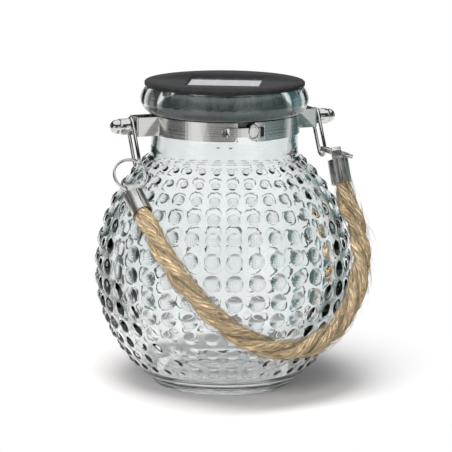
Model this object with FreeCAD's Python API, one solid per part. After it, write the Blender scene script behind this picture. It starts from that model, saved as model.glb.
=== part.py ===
import FreeCAD, Part
import math
import os

# A hobnail glass jar lantern with a solar lid and a rope handle. Sizes are in millimetres.
# The jar stands on Z = 0 with its axis on Z.
# The handle pivots lie on X, and the band closes at the front, on -Y.

# Glass jar
BELLY_R = 68.2              # glass at the widest point, without the hobnails
BELLY_Z = 62.0              # height of the widest point
SHOULDER_ARC_R = 83.2       # outline arc above the widest point
FOOT_ARC_R = 76.6           # outline arc below the widest point
NECK_R = 39.5
NECK_H = 22.4               # from the shoulder's edge to the rim bead
NECK_FILLET_R = 3.0
RIM_R = 45.0                # widest point of the rim bead
RIM_H = 14.2                # height of the rim bead
RIM_LOW_H = 6.2             # from the bead's lower edge to its widest point
RIM_LAND_R = 42.2           # outer edge of the flat land under the lid
GLASS_WALL = 3.4
GLASS_FLOOR = 7.0
FLOOR_FILLET_R = 8.0
FOOT_EDGE_R = 2.0
PUNT_R = 30.0               # hollow under the foot
PUNT_H = 2.0
INNER_BANDS = 4             # straight bands of each inner arc

# Hobnails on the belly, in straight columns
HOBNAIL_COLUMNS = 36
HOBNAIL_PHASE_DEG = 3.0     # first column, from X
HOBNAIL_SIDES = 6
COLLAR_W = 0.15             # narrow ring where the belly's flats meet the round foot and neck
HOBNAIL_D = 8.6             # across a hobnail at the widest point of the belly
HOBNAIL_H = 1.9             # to a hobnail's tip
HOBNAIL_UPPER_ROWS = 7
HOBNAIL_LOWER_ROWS = 6
UPPER_ROW_SHARE = 0.96      # row pitch as a share of the column pitch, above the widest point
LOWER_ROW_SHARE = 0.86      # the same below it

# Neck band, box ears and front closure
STRIP_T = 0.6
BAND_W = 10.0
BAND_GAP = 0.3              # between the band and the glass, and below the rim bead
EAR_X = 52.0                # outer face of an ear's end plate
EAR_W = 12.0
EAR_BEND_R = 1.2
TONGUE_W = 4.7
TONGUE_BACK_DEG = 24.0      # the folded tongue's tip, left of the front
STRIP_END_DEG = 12.0        # the strip narrows to the tongue here, left of the front
PLATE_START_DEG = 3.0       # the slotted end starts here, left of the front
SLOT_DEG = (3.0, 7.5)       # the slot in the slotted end, right of the front
FOLD_DEG = 5.4              # the tongue comes up through the slot here
JOGGLE_DEG = (12.0, 14.0)   # the slotted end steps out over the tongue here
PLATE_CHAMFER = 2.4
LAYER_GAP = 0.1
SLOT_PLAY = 0.3

# Handle pivots
PIVOT_D = 5.0
PIVOT_PLAY = 0.15
SCREW_HEAD_D = 9.0
SCREW_HEAD_H = 2.8
NUT_FLATS = 8.0
NUT_HEX_H = 5.0
NUT_DOME_D = 7.5
NUT_H = 10.0
THREAD_PLAY = 0.1
LINK_SIDE_PLAY = 0.45       # beside the wire link on its pivot

# Wire links
LINK_WIRE_D = 1.9           # across the corners of its eight-sided section
WIRE_SIDES = 8
LINK_EYE_R = 3.1            # inside radius of both ends
LINK_SPAN = 18.5            # between the centres of both ends
LINK_LEAN_DEG = 29.5        # forward from straight down

# Split rings, of two turns of wire
RING_WIRE_D = 1.2
RING_D = 19.0
RING_TURN_PITCH = 1.1
RING_SLACK = 1.0            # between the ring's wire and the bottom of the link

# Rope and ferrules
ROPE_D = 9.6
ROPE_SIDES = 12
ROPE_PLAY = 0.2
FERRULE_WALL = 0.5
FERRULE_L = 13.0
FERRULE_CAP_T = 0.6
FERRULE_SEAM = 0.5
EYE_R = 1.9
EYE_SLOT = 2.4              # straight part of the strap eye
EYE_T = 0.6
EYE_W = 5.0
ROPE_LEAD = 24.0            # from the eye to the rope's first bend

# How each side's chain hangs, as outward, forward and downward shares
CHAIN = {
    "left": {
        "side": -1.0,
        "chord": (0.369, 0.528, 0.767),
        "chord_share": 0.98,
        "across": (0.96, -0.216, -0.172),
        "ferrule": (-0.097, 0.792, 0.603),
    },
    "right": {
        "side": 1.0,
        "chord": (0.057, 0.998, 0.03),
        "chord_share": 0.89,
        "across": (0.966, 0.0, 0.26),
        "ferrule": (0.03, 0.37, 0.929),
    },
}

# The rope's route over the front of the belly, from the left ferrule to the right one
ROPE_POINTS = [
    (-54.6, -48.4, 86.0),
    (-48.0, -58.0, 72.5),
    (-38.5, -65.8, 58.5),
    (-25.0, -70.6, 45.5),
    (-8.5, -72.0, 35.5),
    (9.5, -70.0, 30.5),
    (27.0, -66.5, 32.8),
    (43.0, -61.0, 41.5),
    (55.5, -53.0, 55.5),
    (61.2, -45.8, 72.0),
    (61.0, -40.6, 87.5),
]
BEND_SHARE = 0.45           # of the shorter run, taken up by each bend's arc

# Lid
LID_R = 42.9
LID_T = 2.2
LID_EDGE = 0.4              # chamfer round the lid
LID_SEAT = 0.1              # between the lid and the rim
LID_TURN_DEG = -27.0        # the lid's window is turned about Z
SPIGOT_R = 33.0
SPIGOT_H = 4.0
WINDOW_SIDE = 39.4
WINDOW_DEPTH = 2.2
PANEL_T = 1.0
PANEL_PLAY = 0.2

# Plug housing and its seal
PLUG_H = 16.4
PLUG_WALL = 1.6
PLUG_EDGE = 1.2             # chamfer round the plug's floor
SEAL_T = 1.1
SEAL_PLAY = 0.15            # on the spigot
SEAL_TIP_PLAY = 0.3         # in the mouth of the jar
SEAL_H = 11.0
SEAL_LIP_T = 1.0
SEAL_LIPS = 2

# Electrics in the plug, placed from the lid's centre before its turn
BATTERY_D = 10.5
BATTERY_L = 44.5
BATTERY_Y = -10.0
BATTERY_LIFT = 0.3          # above the floor of the plug
BATTERY_TIP_D = 3.8
BATTERY_TIP_L = 1.0
CONTACT_T = 0.5
CONTACT_W = 9.0
RIB_T = 1.5
DOOR_END = 0.75             # of the door past each end of the cell
DOOR_W = 15.0
DOOR_PLAY = 0.2
DOOR_GRIP_D = 9.0
DOOR_GRIP_H = 0.6
BOARD_L = 30.0
BOARD_W = 15.0
BOARD_T = 1.2
BOARD_Y = 11.0
BOARD_LIFT = 5.2            # above the floor of the plug
POST_D = 4.0
LED_D = 5.0
LED_H = 8.6
LED_FLANGE_D = 5.8
LED_FLANGE_T = 1.0
LED_PLAY = 0.25
LEAD_T = 0.5
LEAD_PITCH = 2.54
LED_X = -6.0
LED_LEAD_L = 1.2
SWITCH_X = 6.5
SWITCH_L = 9.0
SWITCH_W = 4.6
SWITCH_H = 4.0
KNOB_L = 2.0
KNOB_W = 1.6
KNOB_DEPTH = 2.0            # of the knob's stem inside the switch
KNOB_OUT = 1.5              # below the plug
KNOB_PLAY = 0.3
KNOB_TRAVEL = 3.0
BOSS_D = 6.0
BOSS_X = 27.0
BOSS_Y = 5.5
SMALL_SCREW_D = 2.4
SMALL_SCREW_HEAD_D = 4.4
SMALL_SCREW_HEAD_H = 1.2
SMALL_SCREW_PLAY = 0.1
SMALL_SCREW_BITE = 2.6      # of the screw in the spigot

# Places worked out from the sizes
V = FreeCAD.Vector
UP = V(0, 0, 1)
ALONG_X = V(1, 0, 0)
ORIGIN = V(0, 0, 0)
SHOULDER_C = BELLY_R - SHOULDER_ARC_R
FOOT_C = BELLY_R - FOOT_ARC_R
NECK_Z = BELLY_Z + math.sqrt(SHOULDER_ARC_R ** 2 - (NECK_R - SHOULDER_C) ** 2)
RIM_Z = NECK_Z + NECK_H
JAR_H = RIM_Z + RIM_H
MOUTH_R = NECK_R - GLASS_WALL
BAND_R = NECK_R + BAND_GAP
BAND_TOP = RIM_Z - BAND_GAP
BAND_Z = BAND_TOP - BAND_W / 2
LINK_X = EAR_X + LINK_SIDE_PLAY + LINK_WIRE_D / 2
NUT_X = EAR_X + 2 * LINK_SIDE_PLAY + LINK_WIRE_D
RING_R = (RING_D - RING_WIRE_D) / 2
LID_Z = JAR_H + LID_SEAT
LID_TOP = LID_Z + LID_T
PLUG_TOP = LID_Z - SPIGOT_H
PLUG_Z = PLUG_TOP - PLUG_H
PLUG_FLOOR = PLUG_Z + PLUG_WALL
DOOR_L = BATTERY_L + 2 * DOOR_END
BOARD_Z = PLUG_FLOOR + BOARD_LIFT


def flat_face(corners):
    """A flat face with straight edges."""
    return Part.Face(Part.makePolygon(corners + corners[:1]))


def polar(radius, degrees, z):
    """A point at a radius and an angle about Z."""
    angle = math.radians(degrees)
    return V(radius * math.cos(angle), radius * math.sin(angle), z)


def box(size_x, size_y, size_z, centre_x, centre_y, low_z):
    """A block centred on X and Y that stands on low_z."""
    corner = V(centre_x - size_x / 2, centre_y - size_y / 2, low_z)
    return Part.makeBox(size_x, size_y, size_z, corner)


def post(diameter, height, x, y, low_z):
    """An upright cylinder."""
    return Part.makeCylinder(diameter / 2, height, V(x, y, low_z), UP)


def shallow_arc(start, middle, end):
    """An arc edge through three points."""
    return Part.Arc(start, middle, end).toShape()


def line(start, end):
    """A straight edge."""
    return Part.LineSegment(start, end).toShape()


def turned(edges):
    """A solid of revolution about Z from a closed outline of edges in the XZ plane."""
    return Part.Face(Part.Wire(edges)).revolve(ORIGIN, UP, 360)


def turned_polygon(points):
    """A solid of revolution about Z from corner points given as radius and height."""
    corners = [V(radius, 0, z) for radius, z in points]
    return turned(Part.makePolygon(corners + corners[:1]).Edges)


def belly_point(arc_c, arc_r, angle, depth=0.0):
    """A point of the belly's outline arc, at an angle above the widest point and a depth in the glass."""
    reach = arc_r - depth
    return V(arc_c + reach * math.cos(angle), 0, BELLY_Z + reach * math.sin(angle))


def arc_angle(arc_c, arc_r, radius):
    """The angle at which an outline arc reaches a radius."""
    return math.acos((radius - arc_c) / arc_r)


def hobnail_angles(arc_c, arc_r, rows, pitch):
    """Angles of a column's rows, whose spacing follows the belly's radius."""
    angles = []
    angle = 0.0
    for row in range(rows):
        radius = arc_c + arc_r * math.cos(angle)
        step = pitch * 2 * math.pi * radius / HOBNAIL_COLUMNS / arc_r
        angle += step / 2 if row == 0 else step
        angles.append(angle)
    return angles


def band_edges(rows, end):
    """Angles at the edges of the rows' bands: between the rows, and at the end of the arc."""
    edges = [(low + high) / 2 for low, high in zip(rows, rows[1:])]
    return edges + [end]


def chain_of_lines(points):
    """Straight edges from point to point."""
    return [line(start, end) for start, end in zip(points, points[1:])]


def swept_round(edges):
    """The faces that an open outline in the XZ plane makes in a full turn about Z."""
    return Part.Wire(edges).revolve(ORIGIN, UP, 360).Faces


def foot_faces(foot_start):
    """The rounded foot and the hollow under it."""
    side_angle = math.asin((BELLY_Z - FOOT_EDGE_R) / FOOT_ARC_R)
    side_low = belly_point(FOOT_C, FOOT_ARC_R, -side_angle)
    edge_middle = V(side_low.x - 0.35 * FOOT_EDGE_R, 0, 0.35 * FOOT_EDGE_R)
    foot_flat = V(side_low.x - FOOT_EDGE_R, 0, 0)
    side_top = foot_start - V(COLLAR_W, 0, 0)
    middle = V(0, 0, PUNT_H)
    punt_edge = V(PUNT_R, 0, 0)
    return swept_round(chain_of_lines([middle, punt_edge, foot_flat, edge_middle, side_low, side_top]))


def neck_and_inside_faces(shoulder_top):
    """The neck, the rim bead, the mouth and the inside of the jar down to its floor."""
    neck_low = V(NECK_R, 0, NECK_Z + NECK_FILLET_R)
    neck_middle = V(NECK_R + 0.1 * NECK_FILLET_R, 0, NECK_Z + 0.3 * NECK_FILLET_R)
    bead_low = V(NECK_R, 0, RIM_Z)
    bead_wide = V(RIM_R, 0, RIM_Z + RIM_LOW_H)
    bead_land = V(RIM_LAND_R, 0, JAR_H)
    bead_low_middle = V(NECK_R + 0.72 * (RIM_R - NECK_R), 0, RIM_Z + 0.34 * RIM_LOW_H)
    bead_high_middle = V(RIM_R - 0.3 * (RIM_R - RIM_LAND_R), 0, JAR_H - 0.42 * (RIM_H - RIM_LOW_H))
    inner_top = arc_angle(SHOULDER_C, SHOULDER_ARC_R - GLASS_WALL, MOUTH_R)
    inner_low = math.asin((BELLY_Z - GLASS_FLOOR - FLOOR_FILLET_R) / (FOOT_ARC_R - GLASS_WALL))
    inside = [bead_land, V(MOUTH_R + GLASS_WALL / 4, 0, JAR_H), V(MOUTH_R, 0, JAR_H - GLASS_WALL / 4)]
    for band in range(INNER_BANDS, 0, -1):
        inside.append(belly_point(SHOULDER_C, SHOULDER_ARC_R, inner_top * band / INNER_BANDS, GLASS_WALL))
    for band in range(INNER_BANDS + 1):
        inside.append(belly_point(FOOT_C, FOOT_ARC_R, -inner_low * band / INNER_BANDS, GLASS_WALL))
    wall_low = inside[-1].x
    inside.append(V(wall_low - 0.66 * FLOOR_FILLET_R, 0, GLASS_FLOOR + 0.26 * FLOOR_FILLET_R))
    inside.append(V(wall_low - 1.7 * FLOOR_FILLET_R, 0, GLASS_FLOOR))
    inside.append(V(0, 0, GLASS_FLOOR))
    edges = [
        shallow_arc(shoulder_top - V(COLLAR_W, 0, 0), neck_middle, neck_low),
        line(neck_low, bead_low),
        shallow_arc(bead_low, bead_low_middle, bead_wide),
        shallow_arc(bead_wide, bead_high_middle, bead_land),
    ]
    edges += chain_of_lines(inside)
    return swept_round(edges)


def hobnail_cell(low, high):
    """One flat of the belly between two edges of its outline, with the six-sided hobnail on it."""
    half_turn = math.pi / HOBNAIL_COLUMNS
    middle = (low + high) / 2
    upward = (high - low).normalize()
    outward = V(upward.z, 0, -upward.x)
    share = (middle.x / BELLY_R) ** 2
    half = HOBNAIL_D * share / 2
    peak = middle + outward * (HOBNAIL_H * share)
    root = []
    for corner in range(HOBNAIL_SIDES):
        turn = 2 * math.pi * (corner + 0.5) / HOBNAIL_SIDES
        root.append(middle + V(0, half * math.cos(turn), 0) + upward * (half * math.sin(turn)))
    corners = []
    for point, way in ((low, -1), (low, 1), (high, 1), (high, -1)):
        corners.append(point + V(0, way * point.x * math.tan(half_turn), 0))
    faces = flat_face(corners).cut(flat_face(root)).Faces
    for start, end in zip(root, root[1:] + root[:1]):
        faces.append(flat_face([start, end, peak]))
    return faces


def collar_face(point):
    """The narrow flat ring where the belly's flats meet a round part of the jar."""
    half_turn = math.pi / HOBNAIL_COLUMNS
    reach = point.x / math.cos(half_turn)
    first = math.degrees(half_turn) + HOBNAIL_PHASE_DEG
    pitch_deg = 360.0 / HOBNAIL_COLUMNS
    corners = [polar(reach, first + pitch_deg * step, point.z) for step in range(HOBNAIL_COLUMNS)]
    opening = Part.Face(Part.Wire(Part.makeCircle(point.x - COLLAR_W, V(0, 0, point.z), UP)))
    return flat_face(corners).cut(opening).Faces[0]


def glass_jar():
    """The jar: one column of flats and hobnails copied round, sewn to the turned foot, neck and inside."""
    upper_rows = hobnail_angles(SHOULDER_C, SHOULDER_ARC_R, HOBNAIL_UPPER_ROWS, UPPER_ROW_SHARE)
    lower_rows = hobnail_angles(FOOT_C, FOOT_ARC_R, HOBNAIL_LOWER_ROWS, LOWER_ROW_SHARE)
    shoulder_end = arc_angle(SHOULDER_C, SHOULDER_ARC_R, NECK_R + 0.4 * NECK_FILLET_R)
    upper = [belly_point(SHOULDER_C, SHOULDER_ARC_R, angle) for angle in band_edges(upper_rows, shoulder_end)]
    lower_end = 1.5 * lower_rows[-1] - 0.5 * lower_rows[-2]
    lower = [belly_point(FOOT_C, FOOT_ARC_R, -angle) for angle in band_edges(lower_rows, lower_end)]
    levels = lower[::-1] + [V(BELLY_R, 0, BELLY_Z)] + upper
    column = []
    for low, high in zip(levels, levels[1:]):
        column += hobnail_cell(low, high)
    foot_top = levels[0]
    faces = neck_and_inside_faces(levels[-1]) + foot_faces(foot_top)
    faces += [collar_face(levels[-1]), collar_face(foot_top)]
    for place in range(HOBNAIL_COLUMNS):
        for face in column:
            copy = face.copy()
            copy.rotate(ORIGIN, UP, HOBNAIL_PHASE_DEG + 360.0 * place / HOBNAIL_COLUMNS)
            faces.append(copy)
    shell = Part.makeShell(faces)
    shell.sewShape(1e-4)
    return Part.makeSolid(shell)


def curved_strip(inner_r, from_deg, to_deg, low_z, high_z):
    """A piece of strip bent round Z, between two angles from the front, which is on -Y."""
    pie = Part.makeCylinder(inner_r + STRIP_T, high_z - low_z, V(0, 0, low_z), UP, to_deg - from_deg)
    pie = pie.cut(Part.makeCylinder(inner_r, high_z - low_z, V(0, 0, low_z), UP))
    pie.rotate(ORIGIN, UP, from_deg - 90)
    return pie


def ear_outline(disc_r, end_x, width):
    """A disc with the two ears' blocks across it."""
    low = BAND_Z - BAND_W / 2
    disc = Part.makeCylinder(disc_r, BAND_W, V(0, 0, low), UP)
    return disc.fuse(box(2 * end_x, width, BAND_W, 0, 0, low)).removeSplitter()


def rounded_uprights(shape, x, y, radius):
    """The shape with its upright edges at the ears' corners rounded."""
    corners = []
    for edge in shape.Edges:
        middle = edge.CenterOfMass
        upright = abs(edge.Length - BAND_W) < 1e-6
        if upright and abs(abs(middle.x) - x) < 1e-6 and abs(abs(middle.y) - y) < 1e-6:
            corners.append(edge)
    return shape.makeFillet(radius, corners)


def neck_band():
    """The strip round the neck with its two box ears, closed by a tongue folded back through a slot."""
    low = BAND_Z - BAND_W / 2
    high = BAND_Z + BAND_W / 2
    outer = ear_outline(BAND_R + STRIP_T, EAR_X, EAR_W)
    outer = rounded_uprights(outer, EAR_X, EAR_W / 2, EAR_BEND_R)
    inner = ear_outline(BAND_R, EAR_X - STRIP_T, EAR_W - 2 * STRIP_T)
    inner = rounded_uprights(inner, EAR_X - STRIP_T, EAR_W / 2 - STRIP_T, EAR_BEND_R - STRIP_T)
    band = outer.cut(inner)
    gap = Part.makeCylinder(BAND_R + 2 * STRIP_T, BAND_W, V(0, 0, low), UP, STRIP_END_DEG + JOGGLE_DEG[0])
    gap.rotate(ORIGIN, UP, -90 - STRIP_END_DEG)
    band = band.cut(gap)
    plate_r = BAND_R + STRIP_T + LAYER_GAP
    tongue_r = plate_r + STRIP_T + LAYER_GAP
    fold_deg = math.degrees(STRIP_T / BAND_R)
    tongue_low = BAND_Z - TONGUE_W / 2
    tongue_high = BAND_Z + TONGUE_W / 2
    plate = curved_strip(plate_r, -PLATE_START_DEG, JOGGLE_DEG[1], low, high)
    plate = plate.cut(plate_corners(plate_r))
    slot_w = TONGUE_W + 2 * SLOT_PLAY
    slot = Part.makeCylinder(tongue_r, slot_w, V(0, 0, BAND_Z - slot_w / 2), UP, SLOT_DEG[1] - SLOT_DEG[0])
    slot.rotate(ORIGIN, UP, SLOT_DEG[0] - 90)
    plate = plate.cut(slot)
    joggle = curved_strip(BAND_R + LAYER_GAP, JOGGLE_DEG[0], JOGGLE_DEG[1], low, high)
    fold_end = FOLD_DEG + fold_deg
    root = curved_strip(BAND_R, -STRIP_END_DEG, fold_end, tongue_low, tongue_high)
    fold = curved_strip(BAND_R + STRIP_T / 2, FOLD_DEG, fold_end, tongue_low, tongue_high)
    fold = fold.fuse(curved_strip(plate_r, FOLD_DEG, fold_end, tongue_low, tongue_high))
    fold = fold.fuse(curved_strip(plate_r + STRIP_T / 2, FOLD_DEG, fold_end, tongue_low, tongue_high))
    tip_deg = math.degrees(TONGUE_W / 2 / tongue_r)
    back = curved_strip(tongue_r, -TONGUE_BACK_DEG + tip_deg, fold_end, tongue_low, tongue_high)
    tip = curved_strip(tongue_r, -TONGUE_BACK_DEG, -TONGUE_BACK_DEG + 2 * tip_deg, tongue_low, tongue_high)
    peg_at = polar(tongue_r / 2, tip_deg - TONGUE_BACK_DEG - 90, BAND_Z)
    outward = polar(1, tip_deg - TONGUE_BACK_DEG - 90, 0)
    tip = tip.common(Part.makeCylinder(TONGUE_W / 2, tongue_r, peg_at, outward))
    band = band.multiFuse([plate, joggle, root, fold, back, tip]).removeSplitter()
    hole_r = PIVOT_D / 2 + PIVOT_PLAY
    reach = 2 * (EAR_X + STRIP_T)
    return band.cut(Part.makeCylinder(hole_r, reach, V(-reach / 2, 0, BAND_Z), ALONG_X))


def plate_corners(plate_r):
    """The two corners cut off the slotted end of the strip."""
    centre = polar(plate_r, -PLATE_START_DEG - 90, BAND_Z)
    cuts = []
    for way in (-1, 1):
        corner = box(2 * PLATE_CHAMFER, 4 * STRIP_T, 2 * PLATE_CHAMFER, 0, 0, -PLATE_CHAMFER)
        corner.rotate(ORIGIN, V(0, 1, 0), 45)
        corner.translate(centre + V(0, 0, way * (BAND_W / 2 + 0.2 * PLATE_CHAMFER)))
        cuts.append(corner)
    return cuts


def along_x(shape, side, x):
    """A shape turned about Z, laid along X at the pivots' height and pointing outwards on one side."""
    laid = shape.copy()
    laid.rotate(ORIGIN, V(0, 1, 0), side * 90)
    laid.translate(V(side * x, 0, BAND_Z))
    return laid


def pivot_screw(side):
    """A round-headed screw whose head lies inside the ear."""
    crown = 0.45 * SCREW_HEAD_H
    head_r = SCREW_HEAD_D / 2
    shank_l = NUT_X - EAR_X + STRIP_T + NUT_H - NUT_DOME_D / 2
    edges = chain_of_lines([
        V(head_r, 0, -SCREW_HEAD_H + crown),
        V(head_r, 0, 0),
        V(PIVOT_D / 2, 0, 0),
        V(PIVOT_D / 2, 0, shank_l - PIVOT_D / 8),
        V(PIVOT_D / 2 - PIVOT_D / 8, 0, shank_l),
        V(0, 0, shank_l),
        V(0, 0, -SCREW_HEAD_H),
    ])
    crown_top = edges[-1].Vertexes[1].Point
    crown_side = V(0.6 * head_r, 0, 0.78 * crown - SCREW_HEAD_H)
    edges.append(shallow_arc(crown_top, crown_side, edges[0].Vertexes[0].Point))
    return along_x(turned(edges), side, EAR_X - STRIP_T)


def cap_nut(side):
    """A domed hexagon nut with a blind hole."""
    across = NUT_FLATS / math.sqrt(3)
    corners = [polar(across, 60 * corner + 30, 0) for corner in range(6)]
    hexagon = flat_face(corners).extrude(V(0, 0, NUT_HEX_H))
    dome_r = NUT_DOME_D / 2
    bevel = across - NUT_FLATS / 2
    shoulder = NUT_HEX_H - bevel
    flats_r = NUT_FLATS / 2
    trim = turned_polygon([(0, 0), (across, 0), (across, shoulder), (flats_r, NUT_HEX_H), (0, NUT_HEX_H)])
    nut = hexagon.common(trim)
    nut = nut.fuse(Part.makeCylinder(dome_r, NUT_H - dome_r, ORIGIN, UP))
    nut = nut.fuse(Part.makeSphere(dome_r, V(0, 0, NUT_H - dome_r), UP, 0, 90, 360))
    hole_r = PIVOT_D / 2 + THREAD_PLAY
    nut = nut.cut(Part.makeCylinder(hole_r, NUT_H - dome_r + THREAD_PLAY, ORIGIN, UP))
    return along_x(nut.removeSplitter(), side, NUT_X)


def wire_section(centre, diameter, sides):
    """Corner points of a wire's many-sided section in the XZ plane."""
    corners = []
    for corner in range(sides):
        turn = 2 * math.pi * (corner + 0.5) / sides
        corners.append(centre + V(diameter / 2 * math.cos(turn), 0, diameter / 2 * math.sin(turn)))
    return corners


def wire_link(side):
    """An oval link of wire, hung on its pivot and leaning forward."""
    turn_r = LINK_EYE_R + LINK_WIRE_D / 2
    section = flat_face(wire_section(V(turn_r, 0, 0), LINK_WIRE_D, WIRE_SIDES))
    bend = section.revolve(ORIGIN, UP, 180)
    run = section.extrude(V(0, -LINK_SPAN, 0))
    half = bend.fuse(run)
    other = half.copy()
    other.rotate(V(0, -LINK_SPAN / 2, 0), UP, 180)
    link = half.fuse(other).removeSplitter()
    link.rotate(ORIGIN, V(1, 1, 1), 120)
    link.rotate(ORIGIN, ALONG_X, -LINK_LEAN_DEG)
    link.translate(V(side * LINK_X, 0, BAND_Z))
    return link


def chain_vector(side, shares):
    """A unit vector from outward, forward and downward shares."""
    outward, forward, downward = shares
    return V(side * outward, -forward, -downward).normalize()


def chain_points(chain):
    """Where a ring hangs in its link, its middle, and where its ferrule's eye hangs."""
    side = chain["side"]
    lean = math.radians(LINK_LEAN_DEG)
    link_low = V(side * LINK_X, -LINK_SPAN * math.sin(lean), BAND_Z - LINK_SPAN * math.cos(lean))
    chord = chain_vector(side, chain["chord"])
    across = chain_vector(side, chain["across"])
    across = (across - chord * across.dot(chord)).normalize()
    pull = V(0, chord.y, chord.z).normalize()
    seat = link_low + pull * (LINK_EYE_R - RING_WIRE_D / 2 - RING_SLACK)
    share = chain["chord_share"]
    middle = seat + chord * (RING_R * share) + across * (RING_R * math.sqrt(1 - share ** 2))
    eye = seat + chord * (2 * RING_R * share)
    return seat, middle, eye, chord.cross(across)


def split_ring(chain):
    """Two turns of wire, side by side."""
    seat, middle, eye, axis = chain_points(chain)
    half_pitch = RING_TURN_PITCH / 2
    lower = flat_face(wire_section(V(RING_R, 0, -half_pitch), RING_WIRE_D, WIRE_SIDES))
    upper = flat_face(wire_section(V(RING_R, 0, half_pitch), RING_WIRE_D, WIRE_SIDES))
    ring = lower.fuse(upper).removeSplitter().Faces[0].revolve(ORIGIN, UP, 360)
    ring.Placement = FreeCAD.Placement(middle, FreeCAD.Rotation(UP, axis))
    return ring


def ferrule_place(chain):
    """The place of a ferrule: its eye's centre, the ferrule along its own -Z and the hole along X."""
    seat, middle, eye, axis = chain_points(chain)
    down = chain_vector(chain["side"], chain["ferrule"])
    through = axis.cross(eye - middle)
    through = (through - down * through.dot(down)).normalize()
    if through.x < 0:
        through = through * -1
    rotation = FreeCAD.Rotation(through, V(), down * -1, "ZXY")
    return FreeCAD.Placement(eye, rotation)


def rope_ferrule(chain):
    """A rolled and closed ferrule with a seam along its front and a strap eye on its end."""
    strap_r = EYE_R + EYE_T
    cap_low = -(EYE_SLOT / 2 + strap_r) - FERRULE_CAP_T + EYE_T / 2
    inner_r = ROPE_D / 2 + ROPE_PLAY
    outer_r = inner_r + FERRULE_WALL
    mouth_z = cap_low + FERRULE_CAP_T - FERRULE_L
    bore_l = FERRULE_L - FERRULE_CAP_T
    tube = Part.makeCylinder(outer_r, FERRULE_L, V(0, 0, mouth_z), UP)
    tube = tube.cut(Part.makeCylinder(inner_r, bore_l, V(0, 0, mouth_z), UP))
    seam = box(FERRULE_SEAM, 4 * FERRULE_WALL, bore_l, 0, -outer_r, mouth_z)
    tube = tube.cut(seam)
    strap = eye_block(strap_r, EYE_W).cut(eye_block(EYE_R, 2 * EYE_W))
    ferrule = tube.fuse(strap).removeSplitter()
    ferrule.Placement = ferrule_place(chain)
    return ferrule


def eye_block(radius, width):
    """A block with rounded ends, across the eye."""
    block = box(width, 2 * radius, EYE_SLOT, 0, 0, -EYE_SLOT / 2)
    for way in (-1, 1):
        block = block.fuse(Part.makeCylinder(radius, width, V(-width / 2, 0, way * EYE_SLOT / 2), ALONG_X))
    return block.removeSplitter()


def rope_route():
    """The points of the rope's route, from end to end."""
    ends = {}
    inset = EYE_SLOT / 2 + EYE_R + EYE_T / 2 + FERRULE_CAP_T + ROPE_PLAY
    for name, chain in CHAIN.items():
        eye = chain_points(chain)[2]
        down = chain_vector(chain["side"], chain["ferrule"])
        ends[name] = [eye + down * inset, eye + down * ROPE_LEAD]
    return ends["left"] + [V(*point) for point in ROPE_POINTS] + ends["right"][::-1]


def rope():
    """A round rope along straight runs joined by tangent arcs."""
    route = rope_route()
    edges = []
    radii = []
    start = route[0]
    for before, corner, after in zip(route, route[1:], route[2:]):
        back = before - corner
        ahead = after - corner
        reach = BEND_SHARE * min(back.Length, ahead.Length)
        turn = math.pi - back.getAngle(ahead)
        radii.append(reach / math.tan(turn / 2))
        arc_start = corner + back.normalize() * reach
        arc_end = corner + ahead.normalize() * reach
        inward = (back + ahead).normalize()
        sink = radii[-1] * (1 / math.cos(turn / 2) - 1)
        edges.append(line(start, arc_start))
        edges.append(shallow_arc(arc_start, corner + inward * sink, arc_end))
        start = arc_end
    edges.append(line(start, route[-1]))
    path = Part.Wire(edges)
    corners = [polar(ROPE_D / 2, 360.0 * corner / ROPE_SIDES, 0) for corner in range(ROPE_SIDES)]
    section = Part.makePolygon(corners + corners[:1])
    section.Placement = FreeCAD.Placement(route[0], FreeCAD.Rotation(UP, route[1] - route[0]))
    tube = path.makePipeShell([section], True, False)
    expected = Part.Face(section).Area * path.Length
    print("rope bend radii", [round(radius, 1) for radius in radii])
    print("rope length", round(path.Length, 1))
    print("rope volume to section times length", round(tube.Volume / expected, 4))
    return tube


def in_lid(shape):
    """A piece of the lid, turned with the lid."""
    turned_piece = shape.copy()
    turned_piece.rotate(ORIGIN, UP, LID_TURN_DEG)
    return turned_piece


def lid_plate():
    """The round lid with its spigot and the window's recess."""
    flange = Part.makeCylinder(LID_R, LID_T, V(0, 0, LID_Z), UP)
    rims = [edge for edge in flange.Edges if isinstance(edge.Curve, Part.Circle)]
    flange = flange.makeChamfer(LID_EDGE, rims)
    spigot = Part.makeCylinder(SPIGOT_R, SPIGOT_H, V(0, 0, PLUG_TOP), UP)
    window = box(WINDOW_SIDE, WINDOW_SIDE, WINDOW_DEPTH, 0, 0, LID_TOP - WINDOW_DEPTH)
    plate = flange.fuse(spigot).removeSplitter().cut(window)
    for way in (-1, 1):
        pilot_d = SMALL_SCREW_D + 2 * SMALL_SCREW_PLAY
        plate = plate.cut(post(pilot_d, SMALL_SCREW_BITE + SMALL_SCREW_PLAY, way * BOSS_X, BOSS_Y, PLUG_TOP))
    return in_lid(plate)


def solar_panel():
    """The square panel on the floor of the window."""
    side = WINDOW_SIDE - 2 * PANEL_PLAY
    return in_lid(box(side, side, PANEL_T, 0, 0, LID_TOP - WINDOW_DEPTH))


def lid_seal():
    """The lipped ring round the spigot that grips the mouth of the jar."""
    inner_r = SPIGOT_R + SEAL_PLAY
    outer_r = inner_r + SEAL_T
    tip_r = MOUTH_R - SEAL_TIP_PLAY
    top = LID_Z - SEAL_PLAY
    low = top - SEAL_H
    points = [(inner_r, low), (outer_r, low)]
    pitch = (SEAL_H - SEAL_LIP_T) / SEAL_LIPS
    for lip in range(SEAL_LIPS):
        lip_z = low + SEAL_LIP_T + lip * pitch
        points += [(outer_r, lip_z), (tip_r, lip_z + SEAL_LIP_T)]
        points += [(tip_r, lip_z + 1.6 * SEAL_LIP_T), (outer_r, lip_z + 2 * SEAL_LIP_T)]
    points += [(outer_r, top), (inner_r, top)]
    return turned_polygon(points)


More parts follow.
